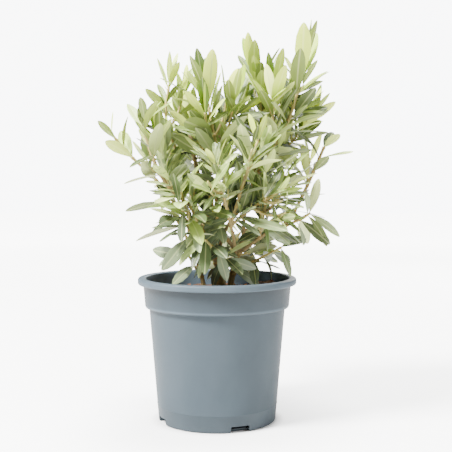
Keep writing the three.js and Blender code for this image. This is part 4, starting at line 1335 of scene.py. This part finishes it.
def slot_cutters():
    """Four boxes with rounded upper corners through the foot of the wall and the floor's edge."""
    cutters = bmesh.new()
    for i in range(4):
        box = bmesh.ops.create_cube(cutters, size=1.0)["verts"]
        bmesh.ops.scale(cutters, vec=[v * MM for v in SLOT], verts=box)
        middle = (Vector((BASE, 0, 0)) + Vector(SLOT_MIDDLE)) * MM
        bmesh.ops.translate(cutters, vec=middle, verts=box)
        turn = math.radians(FIRST_SLOT - 90 + 90 * i)
        spin = Vector((0, 0, 1))
        bmesh.ops.rotate(cutters, cent=(0, 0, 0), matrix=Matrix.Rotation(turn, 3, spin), verts=box)
    # Of the upper edges, only those that run through the wall are shorter than the slot is wide
    tops = [e for e in cutters.edges if min(v.co.z for v in e.verts) > 6 * MM]
    along = [e for e in tops if e.calc_length() < 15 * MM]
    bmesh.ops.bevel(cutters, geom=along, offset=SLOT_CORNER * MM, segments=3, affect="EDGES", profile=0.5)
    mesh = bpy.data.meshes.new("slot cutters")
    cutters.to_mesh(mesh)
    cutters.free()
    return bpy.data.objects.new("slot cutters", mesh)


cutter = shown(slot_cutters())
cut = pot.modifiers.new("slots", "BOOLEAN")
cut.object = cutter
cut.solver = "EXACT"
keep_result(pot)
bpy.data.objects.remove(cutter)
for face in pot.data.polygons:
    face.use_smooth = True
pot.data.set_sharp_from_angle(angle=math.radians(32))
print("faces on the pot with its slots:", len(pot.data.polygons))

# %% [markdown]
# The plastic is matt and slightly chalky from handling, and its foot holds a little dust. Its colour is a cool
# grey blue. Light and shade are painted into it too: a painted highlight on the lip and the collar's foot,
# painted shade on the collar under the lip and painted light on the inner wall. How pale each point is depends
# on where it is, so it is written into the mesh as a number and multiplied into the colour.

# %% Plastic finish
# Painted highlight on the lip and the collar's foot, the body's plain level, and painted shade on the collar,
# darkest under the lip
LIP_HIGHLIGHT, COLLAR_FOOT_HIGHLIGHT, BODY_TONE, COLLAR_SHADE, DEEPEST_COLLAR_SHADE = 0.50, 0.52, 0.34, 0.31, 0.145
# Painted light on the inner wall of the mouth, which is paler than the body
INNER_WALL_LIGHT = 0.60
DARK_PLASTIC, LIGHT_PLASTIC, DUST = (0.085, 0.119, 0.145), (0.101, 0.139, 0.168), (0.30, 0.28, 0.25)
# The dust fades out upwards, by this much per metre, and is this thick at most
DUST_FADES, DUST_THICK = 28.0, 0.12


def wear(radius, z):
    """How pale the painted light and shade make the plastic at a point of the pot, in mm."""
    # Painted light on the inner wall
    if z > COLLAR_FOOT and radius < COLLAR_LOW - 0.3:
        return INNER_WALL_LIGHT
    # Painted highlight along the collar's foot
    if abs(z - COLLAR_FOOT) < 1.2:
        return COLLAR_FOOT_HIGHLIGHT
    if z < COLLAR_FOOT:
        return BODY_TONE
    # Painted highlight on the lip
    if z > LIP_FOOT:
        return LIP_HIGHLIGHT
    # Painted shade on the collar, darkest under the lip
    return COLLAR_SHADE + (DEEPEST_COLLAR_SHADE - COLLAR_SHADE) * (z - COLLAR_FOOT) / (LIP_FOOT - COLLAR_FOOT)


def plastic_finish():
    finish = Finish("grey blue plastic", 0.5, Specular_IOR_Level=0.18)
    patches, grain = finish.speckle(coarse=28, fine=650, stretch=0.6)
    plain = finish.ramp(patches, (0.30, DARK_PLASTIC), (0.70, LIGHT_PLASTIC))
    place = finish.nodes.new("ShaderNodeTexCoord")
    parts = finish.nodes.new("ShaderNodeSeparateXYZ")
    finish.links.new(place.outputs["Object"], parts.inputs[0])
    low = finish.math("SUBTRACT", 1.0, finish.times(parts.outputs["Z"], DUST_FADES))
    dust = finish.times(finish.math("MAXIMUM", low, 0.0), finish.times(grain, DUST_THICK))
    dusted = finish.mix(dust, plain, DUST)
    # The pot's painted light and shade are multiplied into its colour
    finish.colour(finish.mix(1.0, dusted, finish.attribute("wear"), "MULTIPLY"))
    finish.rough(grain, low=0.42, high=0.60)
    finish.bump(grain, strength=0.12, distance=0.0003)
    return finish.material


# Painted light and shade, one number per point of the pot
spots = [vertex.co / MM for vertex in pot.data.vertices]
shades = [wear(math.hypot(spot.x, spot.y), spot.z) for spot in spots]
pot.data.attributes.new("wear", "FLOAT", "POINT").data.foreach_set("value", shades)
pot.data.materials.append(plastic_finish())
print("finish on the pot:", pot.data.materials[0].name)

# %% [markdown]
# ## The soil
# The pot is filled with a peat and bark mix. It is one lumpy body up to its surface, and loose crumbs and
# chips of bark lie on top. The chips repeat by the hundred, so Geometry Nodes scatter a few patterns over the
# surface with a fixed seed.

# %% The body of the soil
SOIL_LEVEL = 152.0
# Room between the soil and the pot's wall, in mm
SOIL_GAP = 0.45
HEAP = dict(x=60.0, y=32.0, radius=27.0, height=10.0)


def soil_height(x, y):
    """The surface: a heap at the back right, lumps that fade towards the stems, clods and crumbs."""
    heap = HEAP["height"] * math.exp(-((x - HEAP["x"]) ** 2 + (y - HEAP["y"]) ** 2) / HEAP["radius"] ** 2)
    away = min(1.0, max(0.0, (math.hypot(x - 3, y + 6) - 34) / 16))
    lumps = 1.6 * math.sin(2 * math.pi * x / 30) * math.cos(2 * math.pi * y / 37)
    clods = 1.1 * noise.noise(Vector((x * 0.16, y * 0.16, 3.0)))
    crumb = 0.7 * noise.noise(Vector((x * 0.5, y * 0.5, 8.0)))
    return SOIL_LEVEL + (heap + lumps) * away + clods + crumb


def soil_body():
    profile = [(0.0, 3.0), (outside_at(3.0) - WALL - 14.5, 3.0), (outside_at(11.0) - WALL - SOIL_GAP, 11.0),
               (outside_at(COLLAR_FOOT - 2) - WALL - SOIL_GAP, COLLAR_FOOT - 2), (83.4, COLLAR_FOOT + 3),
               (84.0, SOIL_LEVEL - 0.6)]
    profile += [(radius, SOIL_LEVEL) for radius in np.linspace(83.6, 1.5, 56)] + [(0.0, SOIL_LEVEL)]
    piece = turned_mesh("peat", profile, 120)
    for vertex in piece.data.vertices:
        if vertex.co.z > (SOIL_LEVEL - 0.1) * MM:
            vertex.co.z = soil_height(vertex.co.x / MM, vertex.co.y / MM) * MM
    piece.data.shade_smooth()
    return piece


peat = soil_body()
print("faces on the soil:", len(peat.data.polygons))

# %% [markdown]
# Two patterns lie on the surface: small dark crumbs of peat and longer, redder chips of bark. Each is a rough
# ball of twenty faces, stretched and dented by draws, which is enough at a few millimetres.

# %% Crumbs and chips of bark
def chip_pattern(name, seed, size):
    """A small angular chip of twenty faces; size is half its length, width and height, in mm."""
    luck = draws(seed)
    work = bmesh.new()
    bmesh.ops.create_icosphere(work, subdivisions=1, radius=1.0)
    for vertex in work.verts:
        vertex.co = Vector([vertex.co[i] * size[i] * MM * upward(luck, 0.75, 0.5) for i in range(3)])
    mesh = bpy.data.meshes.new(name)
    work.to_mesh(mesh)
    work.free()
    return bpy.data.objects.new(name, mesh)


def scatter_tree():
    tree = Tree("scatter on soil", Chip=("Object", None), Finish=("Material", None),
                Density=("Float", 1000.0), Seed=("Int", 1), Smallest=("Float", 0.5), Largest=("Float", 1.3))
    normal = tree.node("GeometryNodeInputNormal").outputs[0]
    upward = tree.node("ShaderNodeSeparateXYZ", {0: normal}).outputs["Z"]
    is_top = tree.math("GREATER_THAN", upward, 0.5)
    spread = tree.node("GeometryNodeDistributePointsOnFaces",
                       {"Mesh": tree.inputs["Geometry"], "Selection": is_top,
                        "Density": tree.inputs["Density"], "Seed": tree.inputs["Seed"]})
    turn = tree.node("FunctionNodeRandomValue", {"Max": (6.28, 6.28, 6.28), "Seed": tree.inputs["Seed"]},
                     data_type="FLOAT_VECTOR").outputs[0]
    size = tree.node("FunctionNodeRandomValue", data_type="FLOAT")
    tree.feed(size.inputs[2], tree.inputs["Smallest"])
    tree.feed(size.inputs[3], tree.inputs["Largest"])
    tree.feed(size.inputs["Seed"], tree.inputs["Seed"])
    chip = tree.node("GeometryNodeObjectInfo", {"Object": tree.inputs["Chip"]}).outputs["Geometry"]
    placed = tree.node("GeometryNodeInstanceOnPoints",
                       {"Points": spread.outputs["Points"], "Instance": chip, "Rotation": turn,
                        "Scale": size.outputs[1]}).outputs[0]
    real = tree.node("GeometryNodeRealizeInstances", {"Geometry": placed}).outputs[0]
    return tree.end(tree.node("GeometryNodeSetMaterial",
                              {"Geometry": real, "Material": tree.inputs["Finish"]}).outputs[0])


SCATTER = scatter_tree()


def earth_finish(name, dark, light, roughness):
    finish = Finish(name, roughness, Specular_IOR_Level=0.25)
    patches, grain = finish.speckle(coarse=120, fine=1400)
    finish.colour(finish.ramp(patches, (0.32, dark), (0.70, light)))
    finish.rough(grain, roughness - 0.12, roughness)
    finish.bump(grain, strength=0.8, distance=0.001)
    return finish.material


PEAT = earth_finish("peat", dark=(0.025, 0.012, 0.007), light=(0.080, 0.038, 0.020), roughness=0.98)
BARK_CHIP = earth_finish("bark chip", dark=(0.085, 0.035, 0.017), light=(0.190, 0.085, 0.041),
                         roughness=0.9)
peat.data.materials.append(PEAT)


def scattered(name, chip, finish, density, seed, smallest, largest):
    """So many chips per square metre on a copy of the soil, each between two sizes."""
    surface = bpy.data.objects.new(name, peat.data.copy())
    piece = grown(surface, SCATTER, Chip=chip, Finish=finish, Density=float(density), Seed=seed,
                  Smallest=smallest, Largest=largest)
    print(name, "faces:", len(piece.data.polygons))
    return piece


crumb = chip_pattern("crumb", seed=11, size=(0.9, 0.8, 0.7))
chip = chip_pattern("chip", seed=12, size=(2.6, 1.2, 0.6))
crumbs = scattered("crumbs", crumb, PEAT, density=42000, seed=3, smallest=0.5, largest=1.6)
chips = scattered("bark_chips", chip, BARK_CHIP, density=9000, seed=7, smallest=0.4, largest=1.3)

# %% [markdown]
# ## Stage, light and camera
# The floor is a plain pale sheet and the light is soft, as in a bright studio: a strong lamp from the upper
# left, weaker ones from above, from the right and from behind, and a bright surround. The camera stands about
# a metre away at the height of the crown's lower half and looks slightly down.

# %% Floor
FLOOR_HALF = 6.0
# The floor's own glow near the pot and far off, and how far off that is, in metres
NEAR_GLOW, FAR_GLOW, FLOOR_FADE = 1.8, 8.4, 3.0
# The glow fades out round the pot's foot, which paints a contact shadow there and lets the lamps' real shadow
# show
SHADOW_START, SHADOW_END = 0.071, 0.082


def stage_floor():
    mesh = bpy.data.meshes.new("floor")
    corners = [(x * FLOOR_HALF, y * FLOOR_HALF, -0.0005) for x, y in ((-1, -1), (1, -1), (1, 1), (-1, 1))]
    mesh.from_pydata(corners, [], [(0, 1, 2, 3)])
    finish = Finish("pale floor", 0.9)
    patches, grain = finish.speckle(coarse=2.0, fine=40)
    finish.colour(finish.ramp(patches, (0.0, (0.66, 0.66, 0.65)), (1.0, (0.69, 0.69, 0.68))))
    seen = finish.nodes.new("ShaderNodeLightPath").outputs["Is Camera Ray"]
    place = finish.nodes.new("ShaderNodeTexCoord")
    away = finish.nodes.new("ShaderNodeVectorMath")
    away.operation = "LENGTH"
    finish.links.new(place.outputs["Object"], away.inputs[0])
    glow = finish.range(away.outputs["Value"], From_Max=FLOOR_FADE, To_Min=NEAR_GLOW, To_Max=FAR_GLOW)
    # Painted contact shadow: no glow close round the pot's foot
    edge = finish.range(away.outputs["Value"], From_Min=SHADOW_START, From_Max=SHADOW_END)
    finish.fill(finish.shader, Emission_Color=(1.0, 1.0, 0.99, 1.0),
                Emission_Strength=finish.times(seen, finish.times(edge, glow)))
    mesh.materials.append(finish.material)
    return shown(bpy.data.objects.new("floor", mesh))


floor = stage_floor()
print("floor at", floor.data.vertices[0].co.z, "m")

# %% [markdown]
# Large round lamps give soft shadows with a clear side. The surround lights the plant gently, but the camera
# sees it much brighter, as a plain white background.

# %% Lamps and surround
def lamp(name, place, target, size, power):
    """A round white lamp at a place in metres, turned to its target, with its power in watts."""
    light = bpy.data.lights.new(name, "AREA")
    light.shape = "DISK"
    light.size = size
    light.energy = power
    obj = bpy.data.objects.new(name, light)
    obj.location = place
    obj.rotation_euler = (Vector(target) - Vector(place)).to_track_quat("-Z", "Y").to_euler()
    return shown(obj)


CROWN = (0.0, 0.0, 0.30)
# The surround's strength as light, and as the camera sees it
SURROUND, BACKDROP = 0.66, 9.0
for name, place, size, power in (("window", (-1.3, -0.9, 1.9), 0.7, 430),
                                 ("right fill", (1.7, -0.9, 0.9), 1.4, 34),
                                 ("top", (0.1, 0.2, 2.2), 0.7, 160), ("back", (0.6, 1.6, 1.1), 1.4, 38)):
    lamp(name, place, CROWN, size, power)
world = bpy.data.worlds.new("studio")
bpy.context.scene.world = world
world.use_nodes = True
surround = world.node_tree.nodes["Background"]
surround.inputs["Color"].default_value = (0.97, 0.98, 1.0, 1.0)
seen = world.node_tree.nodes.new("ShaderNodeLightPath")
strength = world.node_tree.nodes.new("ShaderNodeMapRange")
strength.inputs["To Min"].default_value = SURROUND
strength.inputs["To Max"].default_value = BACKDROP
world.node_tree.links.new(seen.outputs["Is Camera Ray"], strength.inputs["Value"])
world.node_tree.links.new(strength.outputs[0], surround.inputs["Strength"])

# %% [markdown]
# The lens follows from the picture's width and the focal length, both in pixels.

# %% Camera
FOCAL_PIXELS, FRAME_PIXELS, SENSOR = 911, 452, 36.0
# In metres, and in degrees below the level
CAMERA_PLACE, LOOKS_DOWN = (0.01064, -1.090, 0.2928), 3.18
camera_data = bpy.data.cameras.new("camera")
camera_data.sensor_width = SENSOR
camera_data.lens = FOCAL_PIXELS / FRAME_PIXELS * SENSOR
camera = shown(bpy.data.objects.new("camera", camera_data))
camera.location = CAMERA_PLACE
camera.rotation_euler = (math.radians(90 - LOOKS_DOWN), 0.0, 0.0)
bpy.context.scene.camera = camera
print("lens, mm:", round(camera_data.lens, 1))

# %% [markdown]
# ## Joining the frame
# Every piece rides on the plant's one body, and the solids that the pieces stand for are hidden, so that
# the solids themselves aren't shown.

# %% Ride on the body and hide the solids
LIMB_NODES = list(LIMBS)
FOLIAGE_NODES = list(FOLIAGE)
for piece, nodes, slot in ((large, FOLIAGE_NODES, "foliage"), (small, (), "foliage"), (twigs, (), "bark"),
                           (wood, LIMB_NODES, "bark"), (stubs, (), "bark"), (collars, (), "bark"),
                           (pot, ["pot"], "pot"), (peat, ["soil"], "soil"), (crumbs, (), "soil"),
                           (chips, (), "soil")):
    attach(piece, "root")
    if nodes:
        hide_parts(*nodes)
